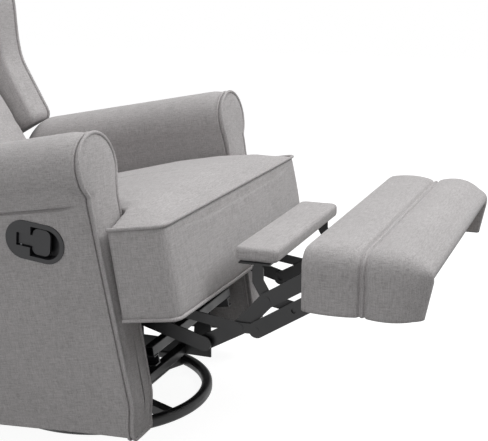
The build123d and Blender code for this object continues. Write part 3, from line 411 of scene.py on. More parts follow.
def ring_faces(rings: int, around: int, wrap: bool, capped: bool) -> list:
    """Quads between closed rings, as arrays of numbers; both ends get one flat face if capped."""
    count = rings if wrap else rings - 1
    ring = np.arange(count)[:, None]
    step = np.arange(around)[None, :]
    here, after = ring * around, ((ring + 1) % rings) * around
    beside = (step + 1) % around
    quads = np.stack([here + step, here + beside, after + beside, after + step], -1)
    faces = quads.reshape(-1, 4).tolist()
    if capped and not wrap:
        faces.append(list(range(around))[::-1])
        faces.append(list(range((rings - 1) * around, rings * around)))
    return faces


def loft(name: str, rings: Array, material: bpy.types.Material, wrap: bool = False,
         capped: bool = True) -> bpy.types.Object:
    """Join closed rings of equal counts into one surface.

    Args:
        name: the piece's name.
        rings: an array of rings by points by 3.
        material: its finish.
        wrap: whether the last ring joins the first.
        capped: whether the ends are closed.

    Returns:
        The piece.
    """
    faces = ring_faces(rings.shape[0], rings.shape[1], wrap, capped)
    return new_piece(name, rings, faces, material)


def resample(points: Array, count: int, closed: bool = False) -> Array:
    """Even points along a polyline, by its running length."""
    points = np.asarray(points, float)
    if closed:
        points = np.vstack([points, points[:1]])
    run = np.r_[0, np.cumsum(np.linalg.norm(np.diff(points, axis=0), axis=1))]
    at = np.linspace(0, run[-1], count, endpoint=not closed)
    return np.stack([np.interp(at, run, points[:, i]) for i in range(points.shape[1])], -1)


def corner_rounded(points: Array | list | tuple, radius: float, steps: int = 6) -> Array:
    """Round each corner of a closed polygon with an arc-like curve of about the radius.

    Each corner is replaced by a quadratic curve between points a radius away from it.
    """
    points = np.asarray(points, float)
    before, after = np.roll(points, 1, axis=0), np.roll(points, -1, axis=0)
    to_before, to_after = before - points, after - points
    reach_b = np.minimum(radius, np.linalg.norm(to_before, axis=1) * 0.48)[:, None]
    reach_a = np.minimum(radius, np.linalg.norm(to_after, axis=1) * 0.48)[:, None]
    start = points + to_before / np.linalg.norm(to_before, axis=1)[:, None] * reach_b
    end = points + to_after / np.linalg.norm(to_after, axis=1)[:, None] * reach_a
    t = np.linspace(0, 1, steps)[None, :, None]
    curve = (1 - t) ** 2 * start[:, None] + 2 * t * (1 - t) * points[:, None] + t**2 * end[:, None]
    return curve.reshape(-1, points.shape[1])


def tube(name: str, path: Array, radius: float, material: bpy.types.Material, closed: bool = False,
         around: int = 10) -> bpy.types.Object:
    """Carry a circle along a path of world points.

    The circle stands square to the path: its first axis is the path's direction crossed with a
    fixed direction that is least in line with it, point by point.

    Args:
        name: the piece's name.
        path: points by 3, in metres.
        radius: of the tube, in metres.
        material: its finish.
        closed: whether the path joins itself.
        around: points round the circle.

    Returns:
        The piece.
    """
    path = np.asarray(path, float)
    ahead = np.roll(path, -1, axis=0) - np.roll(path, 1, axis=0)
    if not closed:
        ahead[0], ahead[-1] = path[1] - path[0], path[-1] - path[-2]
    ahead /= np.linalg.norm(ahead, axis=1)[:, None] + 1e-12
    spread = np.abs(ahead).mean(axis=0)
    fixed = np.zeros(3)
    fixed[int(np.argmin(spread))] = 1.0
    first = np.cross(ahead, fixed)
    first /= np.linalg.norm(first, axis=1)[:, None] + 1e-12
    second = np.cross(ahead, first)
    angle = np.linspace(0, 2 * np.pi, around, endpoint=False)
    rings = (
        path[:, None]
        + radius * np.cos(angle)[None, :, None] * first[:, None]
        + radius * np.sin(angle)[None, :, None] * second[:, None]
    )
    return loft(name, rings, material, wrap=closed)


def smooth_step(value: Array) -> Array:
    """Ease from 0 to 1 with level ends."""
    value = np.clip(value, 0.0, 1.0)
    return value * value * (3 - 2 * value)


def padded_plate(name: str, outline: Array, spine: Array, low: float, high: float, edge: float,
                 bulge: tuple[float, float], place: Carry, material: bpy.types.Material,
                 columns: int = 14) -> bpy.types.Object:
    """A padded panel: an outline with thickness, soft edges and crowned faces.

    Rings shrink from the outline towards its spine. On the way in, each face rises by the bulge
    times one minus the fourth power of the ring's share, and the edge is a quarter round.

    Args:
        name: the piece's name.
        outline: closed (a, b) points.
        spine: for each outline point the (a, b) point it shrinks towards.
        low: the low face's level across the panel.
        high: the high face's level.
        edge: radius of the soft edge.
        bulge: rise of the low face and of the high face.
        place: function from (level, a, b) arrays to world points.
        material: its finish.
        columns: rings on each face.

    Returns:
        The piece.
    """
    arm = outline - spine
    length = np.linalg.norm(arm, axis=1)[:, None] + 1e-9
    inward = -arm / length
    rings = []
    shares = np.linspace(0.06, 1.0, columns)
    for level, sign, rise in ((low, -1.0, bulge[0]), (high, 1.0, bulge[1])):
        face = []
        for share in shares:
            base = outline + inward * edge
            ring = spine + (base - spine) * share
            height = level + sign * rise * (1 - share**4)
            face.append(np.column_stack([np.full(len(ring), height), ring]))
        turns = np.linspace(0, np.pi / 2, 5)[1:]
        for turn in turns:
            ring = outline + inward * edge * (1 - np.sin(turn))
            height = level - sign * edge * (1 - np.cos(turn))
            face.append(np.column_stack([np.full(len(ring), height), ring]))
        rings.append(face if sign < 0 else face[::-1])
    all_rings = np.array(rings[0] + rings[1])
    return loft(name, place(all_rings), material)


# ---------------------------------------------------------------- stuffing
def stuff(piece: bpy.types.Object, voxel: float, pressure: float, cap: float, frames: int = 14) -> None:
    """Blow a cushion up by cloth simulation, with its movement capped, and keep the result.

    Args:
        piece: the closed cushion, at the origin.
        voxel: size of the remeshed faces, in metres.
        pressure: cloth pressure.
        cap: most that a point may move, in metres.
        frames: simulation steps.
    """
    scene = bpy.context.scene
    remesh = piece.modifiers.new("even", "REMESH")
    remesh.mode = "VOXEL"
    remesh.voxel_size = voxel
    apply_modifiers(piece)
    mesh = piece.data
    rest = np.empty(len(mesh.vertices) * 3)
    mesh.vertices.foreach_get("co", rest)
    rest = rest.reshape(-1, 3)
    cloth = piece.modifiers.new("stuffing", "CLOTH")
    cloth.settings.quality = 4
    cloth.settings.mass = 0.3
    cloth.settings.tension_stiffness = 12
    cloth.settings.compression_stiffness = 12
    cloth.settings.shear_stiffness = 6
    cloth.settings.bending_stiffness = 1.2
    cloth.settings.use_pressure = True
    cloth.settings.uniform_pressure_force = pressure
    cloth.settings.effector_weights.gravity = 0
    cloth.collision_settings.use_collision = False
    cloth.point_cache.frame_start = 1
    cloth.point_cache.frame_end = frames
    for step in range(1, frames + 1):
        scene.frame_set(step)
    shown = piece.evaluated_get(bpy.context.evaluated_depsgraph_get())
    moved = np.empty(len(shown.data.vertices) * 3)
    shown.data.vertices.foreach_get("co", moved)
    moved = moved.reshape(-1, 3)
    piece.modifiers.remove(cloth)
    scene.frame_set(1)
    shift = moved - rest
    length = np.linalg.norm(shift, axis=1)[:, None] + 1e-9
    # a soft cap: movement bends over towards the limit
    shift *= cap * np.tanh(length / cap) / length
    mesh.vertices.foreach_set("co", (rest + shift).ravel())
    mesh.update()
    piece.data.shade_smooth()


def apply_modifiers(piece: bpy.types.Object) -> None:
    """Replace the piece's mesh by what its modifiers make of it."""
    shown = piece.evaluated_get(bpy.context.evaluated_depsgraph_get())
    made = bpy.data.meshes.new_from_object(shown)
    piece.modifiers.clear()
    old = piece.data
    materials = list(old.materials)
    piece.data = made
    made.materials.clear()
    for material in materials:
        made.materials.append(material)
    bpy.data.meshes.remove(old)


# ---------------------------------------------------------------- seat
@dataclass
class Seat:
    """T-shaped seat cushion with its boxed front, piped along the top and trimmed below."""

    fabric: bpy.types.Material
    half_width: float = 277.0
    ear_half_width: float = 362.0
    front: float = 398.0
    ear_back: float = 284.0
    back: float = -178.0
    bottom: float = 345.0
    apron_bottom: float = 270.0
    front_seam: float = 443.0
    side_line: tuple = ((-190.0, 438.0), (-27.0, 449.5), (59.0, 456.0), (164.0, 465.0), (264.0, 467.0),
                        (330.0, 462.0), (372.0, 452.0), (400.0, 443.0))
    crown: float = 15.0
    welt: float = 3.4
    middle: tuple = (0.0, 330.0)  # a point inside the plan, which outward points away from
    hem_wave: float = 3.0  # the lower seam is lower by this at the front's middle, higher at its ends
    puff_voxel: float = 0.0055  # metres, as is the cap
    puff_pressure: float = 3.0
    puff_cap: float = 0.006

    def plan(self) -> Array:
        """Closed outline of the T, with a rounded front, as (across, forward)."""
        h, e = self.half_width, self.ear_half_width
        corners = [
            (-h, self.back), (-h, self.ear_back + 2), (-e, self.ear_back + 2), (-e, self.front),
            (0.0, self.front), (e, self.front), (e, self.ear_back + 2), (h, self.ear_back + 2),
            (h, self.back),
        ]
        return resample(corner_rounded(corners, 15.0), 220, closed=True)

    def top_level(self, points: Array) -> Array:
        """Height of the cushion's top at (across, forward): side line, crown, falling ears."""
        across, forward = np.abs(points[:, 0]), points[:, 1]
        side = np.interp(forward, *np.array(self.side_line).T)
        ear = smooth_step((across - self.half_width) / (self.ear_half_width - self.half_width))
        crown = self.crown * (1 - np.clip(across / self.half_width, 0, 1) ** 2.2)
        taper = smooth_step((self.front - forward) / 90.0)
        return side + (self.front_seam - side) * ear + crown * taper

    def cushion(self) -> bpy.types.Object:
        """The cushion: rings from the underside up behind the boxing and in over the crown."""
        plan = self.plan()
        spine = np.column_stack([np.zeros(len(plan)), np.clip(plan[:, 1], -90.0, 300.0)])
        seam = self.top_level(plan)
        rings = []
        for share in np.linspace(0.05, 0.97, 8):
            ring = spine + (plan - spine) * share
            rings.append(np.column_stack([ring, np.full(len(ring), self.bottom + 2)]))
        for share in np.linspace(0.0, 1.0, 7):
            level = self.bottom + 6 + (seam - self.bottom - 6) * share
            pull = 1.0 - 0.045 * (1 - share**6)
            ring = spine + (plan - spine) * pull
            rings.append(np.column_stack([ring, level]))
        for share in np.linspace(0.985, 0.04, 18):
            ring = spine + (plan - spine) * share
            rings.append(np.column_stack([ring, self.top_level(ring)]))
        return loft("seat_cushion_cover", TIPPED.body(np.array(rings)), self.fabric)

    def front_path(self, count: int) -> Array:
        """Open outline round the front: from one ear's back, along the front, to the other."""
        e = self.ear_half_width
        path = [(-e, self.ear_back + 1), (-e, self.front), (e, self.front), (e, self.ear_back + 1)]
        first, last = np.array(path[0]), np.array(path[-1])
        curve = corner_rounded(path, 20.0, 9)
        inner = curve[9:27]
        return resample(np.vstack([first, inner, last]), count)

    def apron(self) -> bpy.types.Object:
        """The boxed front: a padded wall carried round the front path.

        Its profile is a closed loop of (outward, up): the face swells by up to 5 mm between the
        seams, and the inside lies 23 mm in.
        """
        path = self.front_path(150)
        ahead = np.gradient(path, axis=0)
        ahead /= np.linalg.norm(ahead, axis=1)[:, None]
        outward = np.column_stack([-ahead[:, 1], ahead[:, 0]])
        middle = np.array(self.middle)
        outward *= np.sign(np.sum(outward * (path - middle), axis=1))[:, None]
        share = np.linspace(0, 1, 16)
        along = np.linspace(0, 1, len(path))
        top = self.front_seam - 1.0
        rings = []
        swell = 5.0 * np.clip(np.minimum(along, 1 - along) / 0.06, 0, 1)
        low = self.apron_bottom + self.hem_wave * np.cos(along * np.pi * 2)
        for spot in range(len(path)):
            level = low[spot] + (top - low[spot]) * share
            face = -1.5 + swell[spot] * np.sin(np.pi * share) ** 0.7 * (1.1 - 0.5 * share)
            outer = np.column_stack([face, level])
            inner = np.column_stack([np.full(6, -23.0), np.linspace(top - 6, low[spot] + 3, 6)])
            loop = np.vstack([outer, inner])
            ground = path[spot] + outward[spot] * loop[:, :1]
            rings.append(np.column_stack([ground, loop[:, 1]]))
        return loft("seat_front_boxing", TIPPED.body(np.array(rings)), self.fabric)

    def build(self) -> None:
        """Make the cushion, its boxing, and the welts."""
        cushion = self.cushion()
        stuff(cushion, self.puff_voxel, self.puff_pressure, self.puff_cap)
        apron = self.apron()
        for piece in (cushion, apron):
            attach(piece, Body.CARRIAGE.value)
        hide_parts("seat_cushion")
        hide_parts("seat_front_panel")
        path = self.front_path(170)
        welts = (
            ("seat_top_welt", self.front_seam + 0.5, 1.5),
            ("seat_bottom_welt", self.apron_bottom + 1.0, 0.0),
        )
        for name, level, out in welts:
            centre = np.array(self.middle)
            ring = centre + (path - centre) * (1 + out / 400.0)
            line = np.column_stack([ring, np.full(len(ring), level)])
            if "bottom" in name:
                along = np.linspace(0, 1, len(path))
                line[:, 2] += self.hem_wave * np.cos(along * np.pi * 2)
            piece = tube(name, TIPPED.body(line), self.welt / 1000, self.fabric)
            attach(piece, Body.CARRIAGE.value)
        log.info("seat: cushion, boxing and two welts")


# ---------------------------------------------------------------- arms
@dataclass
class Arm:
    """A rolled arm: tapered flank, roll on top, and a piped front panel."""

    fabric: bpy.types.Material
    side: float  # -1 for the sitter's right, +1 for the left
    inner: float = 278.0
    bottom: float = 60.0
    foot_line: tuple = ((-285.0, 85.0), (273.0, 37.0))  # the hem climbs to the rear
    toe: float = 12.0  # how far the lowest part of the front sweeps back
    bottom_outer: float = 350.0
    neck: float = 492.0
    neck_outer: float = 374.4
    crease: float = 488.0
    roll_middle: float = 328.5
    roll_half: float = 64.0
    roll_height: float = 124.0
    front_top: float = 621.0
    back_top: float = 606.0
    front: float = 273.0
    back: float = -285.0
    panel: float = 12.0
    rear_rounding: float = 70.0
    rear_edge: float = 14.0
    welt: float = 3.6
    rear_welt_share: float = 0.8
    fold_fade: tuple = (210.0, 36.0)  # where the overhang starts to fade out, and over how much
    fold_depth: float = 8.0
    core_foot: float = 314.0  # how far out the arm's middle line lies at its foot
    core_neck: float = 326.0  # and at its neck
    cover_core: tuple = (96.0, 520.0)  # levels between which the cover shrinks to that line
    panel_core: tuple = (70.0, 552.0)  # and the front panel and its piping

    @property
    def suffix(self) -> str:
        """The side's name."""
        return "right" if self.side < 0 else "left"

    def flank(self, up: Array) -> Array:
        """How far out the flank lies at a height: a straight taper with a faint bow."""
        share = np.clip((up - self.bottom) / (self.neck - self.bottom), -0.1, 1.0)
        bow = 1.2 * np.sin(np.pi * np.clip(share, 0.0, 1.0))
        return self.bottom_outer + (self.neck_outer - self.bottom_outer) * share + bow

    def section(self, forward: float, count: int = 400) -> Array:
        """Closed outline of the arm as (outward, up): flank, crease, roll, inner face.

        The roll is an ellipse that hangs over the crease outside and runs over the top to the
        inner face. The overhang fades out shortly behind the front panel.
        """
        top = float(self.roll_top(np.array(forward)))
        low = float(np.interp(forward, *np.array(self.foot_line).T))
        fold = 1 - float(smooth_step(np.array((forward - self.fold_fade[0]) / self.fold_fade[1])))
        middle = top - self.roll_height / 2
        angles = np.linspace(np.radians(-46.0 + 16.0 * fold), np.pi + np.radians(28.0), 72)
        roll = np.column_stack([
            self.roll_middle + self.roll_half * np.cos(angles),
            middle + self.roll_height / 2 * np.sin(angles),
        ])
        levels = np.linspace(low + 5, self.crease - 6, 12)
        flank = np.column_stack([self.flank(levels), levels])
        lip = np.array([
            [self.neck_outer + 0.6 * fold, self.crease - 1.5],
            [self.neck_outer - self.fold_depth * fold, self.crease + 2.5],
            [self.neck_outer + 2.5 * fold, self.crease + 5.5],
            [0.45 * roll[0, 0] + 0.55 * (self.neck_outer + 2.5 * fold),
             0.45 * roll[0, 1] + 0.55 * (self.crease + 5.5)],
        ])
        outer = self.flank(np.array(low))
        inside = np.array([[self.inner + 0.5, self.neck], [self.inner + 0.5, low + 4]])
        floor = np.array([[self.inner + 5, low + 0.5], [outer - 5, low + 0.5]])
        return resample(np.vstack([flank, lip, roll, inside, floor]), count, closed=True)

    def roll_top(self, forward: Array) -> Array:
        """Top of the roll along the arm: it climbs forward and rounds down over the last part."""
        run = (forward - self.back) / (self.front - self.back)
        climb = self.back_top + (self.front_top - self.back_top) * run
        return climb - 7.0 * smooth_step((forward - 225.0) / 48.0)

    def place(self, points: Array) -> Array:
        """From (forward, outward, up) to world points on this arm's side."""
        forward, outward, up = np.moveaxis(points, -1, 0)
        swept = self.toe * smooth_step((115.0 - up) / 70.0) * smooth_step((forward - 180.0) / 80.0)
        return TIPPED.body(np.stack([self.side * outward, forward - swept, up], -1))

    def cover(self) -> bpy.types.Object:
        """Flank and roll: sections carried along the arm, rounded off at the rear end.

        Over the last 70 mm the roll is pressed down towards the crease along a quarter circle.
        """
        ends = np.linspace(0, 1, 6)
        forwards = np.r_[self.back + self.rear_edge * (1 - np.cos(ends * np.pi / 2))[:-1],
                         np.linspace(self.back + self.rear_edge, self.back + 75, 11)[:-1],
                         np.linspace(self.back + 75, self.front - self.panel, 48)]
        rings = []
        for forward in forwards:
            top = float(self.roll_top(np.array(forward)))
            section = self.section(forward)
            run = np.clip((self.back + self.rear_rounding - forward) / self.rear_rounding, 0, 1)
            drop = self.rear_rounding * (1 - np.sqrt(1 - run**2))
            press = (top - self.crease - 0.95 * drop) / (top - self.crease)
            above = np.maximum(section[:, 1] - self.crease, 0.0)
            section[:, 1] -= above * (1 - press)
            depth = np.clip((self.back + self.rear_edge - forward) / self.rear_edge, 0, 1)
            shrink = self.rear_edge * (1 - np.sqrt(1 - depth**2))
            centre = np.column_stack([
                np.interp(section[:, 1], [self.bottom, self.neck], [self.core_foot, self.core_neck]),
                np.clip(section[:, 1], *self.cover_core),
            ])
            arm = section - centre
            length = np.linalg.norm(arm, axis=1)[:, None] + 1e-9
            section = centre + arm / length * np.maximum(length - shrink, 1.0)
            rings.append(np.column_stack([np.full(len(section), forward), section]))
        return loft(f"arm_cover_{self.suffix}", self.place(np.array(rings)), self.fabric)

    def front_panel(self) -> bpy.types.Object:
        """The padded front panel, crowned forward inside its piping."""
        outline = self.section(self.front)
        middle = np.interp(
            outline[:, 1], [self.bottom, self.neck, 560.0],
            [self.core_foot, self.core_neck, self.roll_middle],
        )
        spine = np.column_stack([middle, np.clip(outline[:, 1], *self.panel_core)])
        return padded_plate(
            f"arm_panel_{self.suffix}", outline, spine, self.front - self.panel - 1.0,
            self.front - 1.5, 5.0, (0.0, 4.0), self.place, self.fabric,
        )

    def build(self) -> None:
        """Make the cover, panel and piping, and cut the lever's pocket into the right cover."""
        cover, panel = self.cover(), self.front_panel()
        if self.side < 0:
            LeverPocket(self).cut(cover)
        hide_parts(f"arm_{self.suffix}")
        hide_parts(f"arm_front_panel_{self.suffix}")
        outline = self.section(self.front)
        pieces = [cover, panel]
        for name, forward in (("front", self.front - 3.0), ("rear", self.front - self.panel - 2)):
            centre = np.column_stack([
                np.interp(outline[:, 1], [self.bottom, self.neck], [self.core_foot, self.core_neck + 2.0]),
                np.clip(outline[:, 1], *self.panel_core),
            ])
            arm = outline - centre
            line = outline + arm / (np.linalg.norm(arm, axis=1)[:, None] + 1e-9)
            path = np.column_stack([np.full(len(line), forward), line])
            radius = self.welt * (1.0 if name == "front" else self.rear_welt_share)
            pieces.append(tube(
                f"arm_{name}_welt_{self.suffix}", self.place(path), radius / 1000, self.fabric, closed=True,
            ))
        for piece in pieces:
            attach(piece, Body.CARRIAGE.value)
        log.info("arm %s: cover, panel and two welts", self.suffix)


@dataclass
class LeverPocket:
    """The hole in the right arm's cover under the flange of the lever cup."""

    arm: Arm
    forward: float = 139.0
    up: float = 433.5
    turn_deg: float = 16.0
    length: float = 118.0
    height: float = 70.0
    depth: float = 25.0
    proud: float = 12.0  # how far the block stands out of the flank
    sharp_deg: float = 38.0

    def prism(self) -> bpy.types.Object:
        """A block with round ends, square to the flank, that reaches out of it on both sides."""
        arm = self.arm
        lean = np.arctan2(arm.neck_outer - arm.bottom_outer, arm.neck - arm.bottom)
        turn = radians(self.turn_deg)
        out = np.array([0.0, np.cos(lean), -np.sin(lean)])
        along = np.array([np.cos(turn), -np.sin(turn) * np.sin(lean), -np.sin(turn) * np.cos(lean)])
        across = np.cross(out, along)
        flank = arm.bottom_outer + (self.up - arm.bottom) * np.tan(lean)
        centre = np.array([self.forward, flank, self.up])
        angles = np.linspace(0, 2 * np.pi, 72, endpoint=False)
        straight = (self.length - self.height) / 2
        reach = self.height / 2 * np.cos(angles) + straight * np.sign(np.round(np.cos(angles), 9))
        rise = self.height / 2 * np.sin(angles)
        ring = centre + reach[:, None] * along + rise[:, None] * across
        rings = np.array([ring + level * out for level in (-self.depth, self.proud)])
        return loft("lever_pocket", arm.place(rings), arm.fabric)

    def cut(self, cover: bpy.types.Object) -> None:
        """Take the block out of the cover and keep the cut's edge sharp."""
        block = self.prism()
        cutter = cover.modifiers.new("pocket", "BOOLEAN")
        cutter.operation = "DIFFERENCE"
        cutter.solver = "EXACT"
        cutter.object = block
        apply_modifiers(cover)
        bpy.data.objects.remove(block)
        cover.data.shade_smooth()
        cover.data.set_sharp_from_angle(angle=radians(self.sharp_deg))


# ---------------------------------------------------------------- footrest and flipper
@dataclass
class Footrest:
    """The folded-out footrest: one padded wrap over the board and down both cheeks."""

    fabric: bpy.types.Material
    half_width: float = 340.0
    back: float = 562.0
    front: float = 785.0
    top: float = 480.0
    inside: float = 434.0
    cheek: float = 40.0
    cheek_bottom: float = 368.0
    corner: float = 42.0
    seam: float = 672.0
    crown: float = 9.0
    cheek_slope: float = 13.0  # how far the cheek's front edge lies back at its bottom
    rear_round: float = 14.0
    nose_run: float = 70.0
    nose_drop: float = 30.0
    settle: float = 4.0
    seam_half: float = 5.0  # each groove's distance from the middle of the double seam
    groove: tuple = (5.0, 2.4)  # depth and width, as for the valley and the ridge
    valley: tuple = (2.0, 14.0)
    ridge: tuple = (3.0, 3.0)

    def wrap_path(self, count: int) -> Array:
        """Path across the chair on the outer face: up a cheek, over, down."""
        side, top, low = self.half_width, self.top, self.cheek_bottom
        corners = [(-side, low), (-side, top), (side, top), (side, low)]
        curve = corner_rounded(corners, self.corner, 10)[10:30]
        return resample(np.vstack([corners[0], curve, corners[-1]]), count)

    def depth(self, forward: Array) -> Array:
        """How far the face lies inside the outer size along the footrest.

        Rear edge: quarter round. Then a swelling field, the double seam as two grooves with a
        ridge between them, and a front field that swells and rounds over the nose.
        """
        tail = np.clip(1 - (forward - self.back) / self.rear_round, 0, 1)
        rear = self.rear_round * (1 - np.sqrt(1 - tail**2))
        nose = np.clip((forward - (self.front - self.nose_run)) / self.nose_run, 0, 1)
        front = self.nose_drop * (1 - np.sqrt(1 - nose**2))
        rear_field = np.clip((forward - self.back) / (self.seam - self.back), 0, 1)
        front_field = np.clip((forward - self.seam) / (self.front - 20.0 - self.seam), 0, 1)
        swell = np.sin(np.pi * rear_field) ** 0.7 + np.sin(np.pi * front_field) ** 0.7
        settle = self.settle - self.crown * swell
        from_seam = forward - self.seam
        groove = sum(
            self.groove[0] * np.exp(-(((from_seam - offset) / self.groove[1]) ** 2))
            for offset in (-self.seam_half, self.seam_half)
        )
        valley = self.valley[0] * np.exp(-((from_seam / self.valley[1]) ** 2))
        ridge = -self.ridge[0] * np.exp(-((from_seam / self.ridge[1]) ** 2))
        return rear + front + settle + groove + valley + ridge

    def build(self) -> None:
        """Make the wrap as a grid of path by closed profile."""
        outer = self.wrap_path(150)
        inner = np.column_stack([
            np.clip(outer[:, 0], -(self.half_width - self.cheek), self.half_width - self.cheek),
            np.clip(outer[:, 1], self.cheek_bottom, self.inside + 0.4),
        ])
        # close together at the rear edge, over the seam and round the nose
        rear, near, past = self.back + 22, self.seam - 18, self.seam + 18
        nose = self.front - self.nose_run
        forwards = np.r_[np.linspace(self.back, rear, 7)[:-1], np.linspace(rear, near, 12)[:-1],
                         np.linspace(near, past, 37)[:-1], np.linspace(past, nose, 5)[:-1],
                         nose + self.nose_run * np.sin(np.linspace(0, np.pi / 2, 14))]
        depth = self.depth(forwards)
        reach = outer - inner
        length = np.linalg.norm(reach, axis=1)[:, None]
        direction = reach / length
        back_way = np.linspace(self.front - 4, self.back + 3, 8)
        rings = []
        for spot in range(len(outer)):
            face = outer[spot] - direction[spot] * depth[:, None]
            top_side = np.column_stack([forwards, face])
            under = np.column_stack([back_way, np.tile(inner[spot], (8, 1))])
            rings.append(np.vstack([top_side, under]))
        grid = np.array(rings)[..., [1, 0, 2]]
        ahead = np.clip((grid[..., 1] - self.seam) / (self.front - self.seam), 0, 1)
        drop = np.clip((self.inside - grid[..., 2]) / (self.inside - self.cheek_bottom), 0, 1)
        grid[..., 1] -= self.cheek_slope * ahead * drop
        piece = loft("footrest_wrap", TIPPED.level(grid), self.fabric)
        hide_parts("footrest_pad")
        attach(piece, Body.FOOTREST.value)
        log.info("footrest: one wrap")


@dataclass
class Flipper:
    """The narrow pad between seat and footrest: a flat board wrapped in thin padding."""

    fabric: bpy.types.Material
    half_width: float = 207.0
    back: float = 392.0
    front: float = 478.0
    bottom: float = 404.3
    top: float = 433.0

    def build(self) -> None:
        """A soft plate whose outline is the plan of the pad."""
        corners = [
            (-self.half_width, self.back), (self.half_width, self.back),
            (self.half_width, self.front), (-self.half_width, self.front),
        ]
        outline = resample(corner_rounded(corners, 16.0), 160, closed=True)
        reach = self.half_width - 38.0
        spine = np.column_stack([np.clip(outline[:, 0], -reach, reach), np.full(len(outline), 435.0)])
        place = placer(TIPPED.level, [1, 2, 0])
        piece = padded_plate(
            "flipper_wrap", outline, spine, self.bottom - 0.7, self.top - 2.0, 8.5, (0.0, 2.0), place,
            self.fabric,
        )
        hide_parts("flipper_pad")
        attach(piece, Body.FLIPPER.value)
        log.info("flipper: pad")


# ---------------------------------------------------------------- back
@dataclass
class Back:
    """The reclining back: cushion, two wings with piped front edges, and the outside cover."""

    fabric: bpy.types.Material
    height: float = 758.0
    half_width: float = 345.0
    cushion_half: float = 250.0
    cushion_depth: float = 124.0
    cushion_bottom: float = 25.0
    wing_inner: float = 256.0
    wing_front: tuple = ((138, 277), (138, 440), (149, 476), (166, 515), (188, 559), (196, 578),
                         (208, 612), (214, 650), (212, 700), (190, 738), (120, 754), (20, 756))
    shell: float = -30.0
    welt: float = 3.6
    shell_thick: float = 4.8
    shell_outline: tuple = (
        (-272, -30), (272, -30), (272, 20), (345, 50), (345, 718), (285, 758), (-285, 758),
        (-345, 718), (-345, 50), (-272, 20),
    )
    wing_rear: tuple = ((-22, 715), (-22, 277))
    channels: tuple = (300.0, 520.0)
    channel_depth: float = 4.0
    channel_width: float = 9.0
    band_half: float = 244.0
    band_top: float = 742.0

    def cushion(self) -> bpy.types.Object:
        """Inside back: a grid crowned in both directions with two sewn channels across it.

        Depth at (across, up) is the crown profile times an edge falloff, less the channels.
        """
        around = 96
        angle = np.linspace(0, 2 * np.pi, around, endpoint=False)
        rings = []
        for share in np.linspace(0, 1, 60):
            up = self.cushion_bottom + (self.height - 8 - self.cushion_bottom) * share
            end = np.clip(np.minimum(share, 1 - share) / 0.05, 0.0, 1.0)
            tuck = np.sqrt(1 - (1 - end) ** 2) * 0.94 + 0.06
            depth = self.cushion_depth * (0.86 + 0.12 * np.sin(np.pi * min(share / 0.55, 1.0)))
            channel = sum(
                self.channel_depth * np.exp(-(((up - line) / self.channel_width) ** 2))
                for line in self.channels
            )
            half = depth / 2
            across = np.sign(np.cos(angle)) * np.abs(np.cos(angle)) ** 0.35 * self.cushion_half
            thick = np.sign(np.sin(angle)) * np.abs(np.sin(angle)) ** 0.45
            forward = half + thick * half * tuck
            forward = np.where(thick > 0, forward - channel * np.abs(np.sin(angle)) ** 0.5, forward)
            crown = 7.0 * (1 - (across / self.cushion_half) ** 2) * np.clip(thick, 0, 1) * tuck
            rings.append(np.column_stack([across, np.maximum(forward + crown, 0.6), np.full(around, up)]))
        return loft("back_cushion_cover", TIPPED.back(np.array(rings)), self.fabric)

    def wing(self, side: float) -> list[bpy.types.Object]:
        """One wing as a padded plate, with a welt along the front edge."""
        suffix = "right" if side < 0 else "left"
        corners = np.array(self.wing_front + self.wing_rear, float)
        outline = resample(corner_rounded(corners, 24.0, 5), 170, closed=True)
        spine = np.column_stack([
            np.interp(outline[:, 1], [277, 440, 640, 756], [58, 60, 96, 96]),
            np.clip(outline[:, 1], 335, 690),
        ])
        place = placer(TIPPED.back, [0, 1, 2], side)
        plate = padded_plate(
            f"wing_cover_{suffix}", outline, spine, self.wing_inner + 3, self.half_width - 2, 12.0,
            (5.0, 2.0), place, self.fabric,
        )
        last = int(np.argmax((outline[:, 1] > 700) & (outline[:, 0] < 60)))
        edge = outline[:last] + np.array([1.0, 0.0])
        path = np.column_stack([np.full(len(edge), self.half_width - 8.0), edge])
        welt = tube(f"wing_welt_{suffix}", place(path), self.welt / 1000, self.fabric)
        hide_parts(f"wing_{suffix}")
        return [plate, welt]

    def outside(self) -> bpy.types.Object:
        """Outside back: a thin padded plate with the CAD shell's outline."""
        outline = resample(corner_rounded(self.shell_outline, 22.0, 5), 200, closed=True)
        spine = np.column_stack([np.clip(outline[:, 0], -120, 120), np.clip(outline[:, 1], 120, 600)])
        place = placer(TIPPED.back, [1, 0, 2])
        return padded_plate(
            "outside_back_cover", outline, spine, self.shell, self.shell + self.shell_thick,
            self.shell_thick / 2, (7.0, 0.0), place, self.fabric,
        )

    def side_band(self, side: float) -> bpy.types.Object:
        """The fabric that closes the side of the back frame, from its foot to the top."""
        suffix = "right" if side < 0 else "left"
        corners = [(-24.5, 2.0), (14.0, 2.0), (14.0, self.band_top), (-24.5, self.band_top)]
        outline = resample(corner_rounded(corners, 6.0), 120, closed=True)
        spine = np.column_stack([np.full(len(outline), -5.0), np.clip(outline[:, 1], 16.0, 728.0)])
        place = placer(TIPPED.back, [0, 1, 2], side)
        return padded_plate(
            f"back_side_band_{suffix}", outline, spine, self.cushion_half - 18.0, self.cushion_half - 2.0,
            4.0, (0.0, 3.0), place, self.fabric,
        )

    def top_band(self) -> bpy.types.Object:
        """The fabric over the top of the back frame, between cushion and outside cover."""
        h = self.band_half
        corners = [(-h, -25.0), (h, -25.0), (h, 20.0), (-h, 20.0)]
        outline = resample(corner_rounded(corners, 8.0), 140, closed=True)
        spine = np.column_stack([np.clip(outline[:, 0], -220, 220), np.full(len(outline), -2.5)])
        place = placer(TIPPED.back, [1, 2, 0])
        return padded_plate(
            "back_top_band", outline, spine, self.band_top, self.band_top + 12.0, 5.0, (0.0, 3.0),
            place, self.fabric,
        )

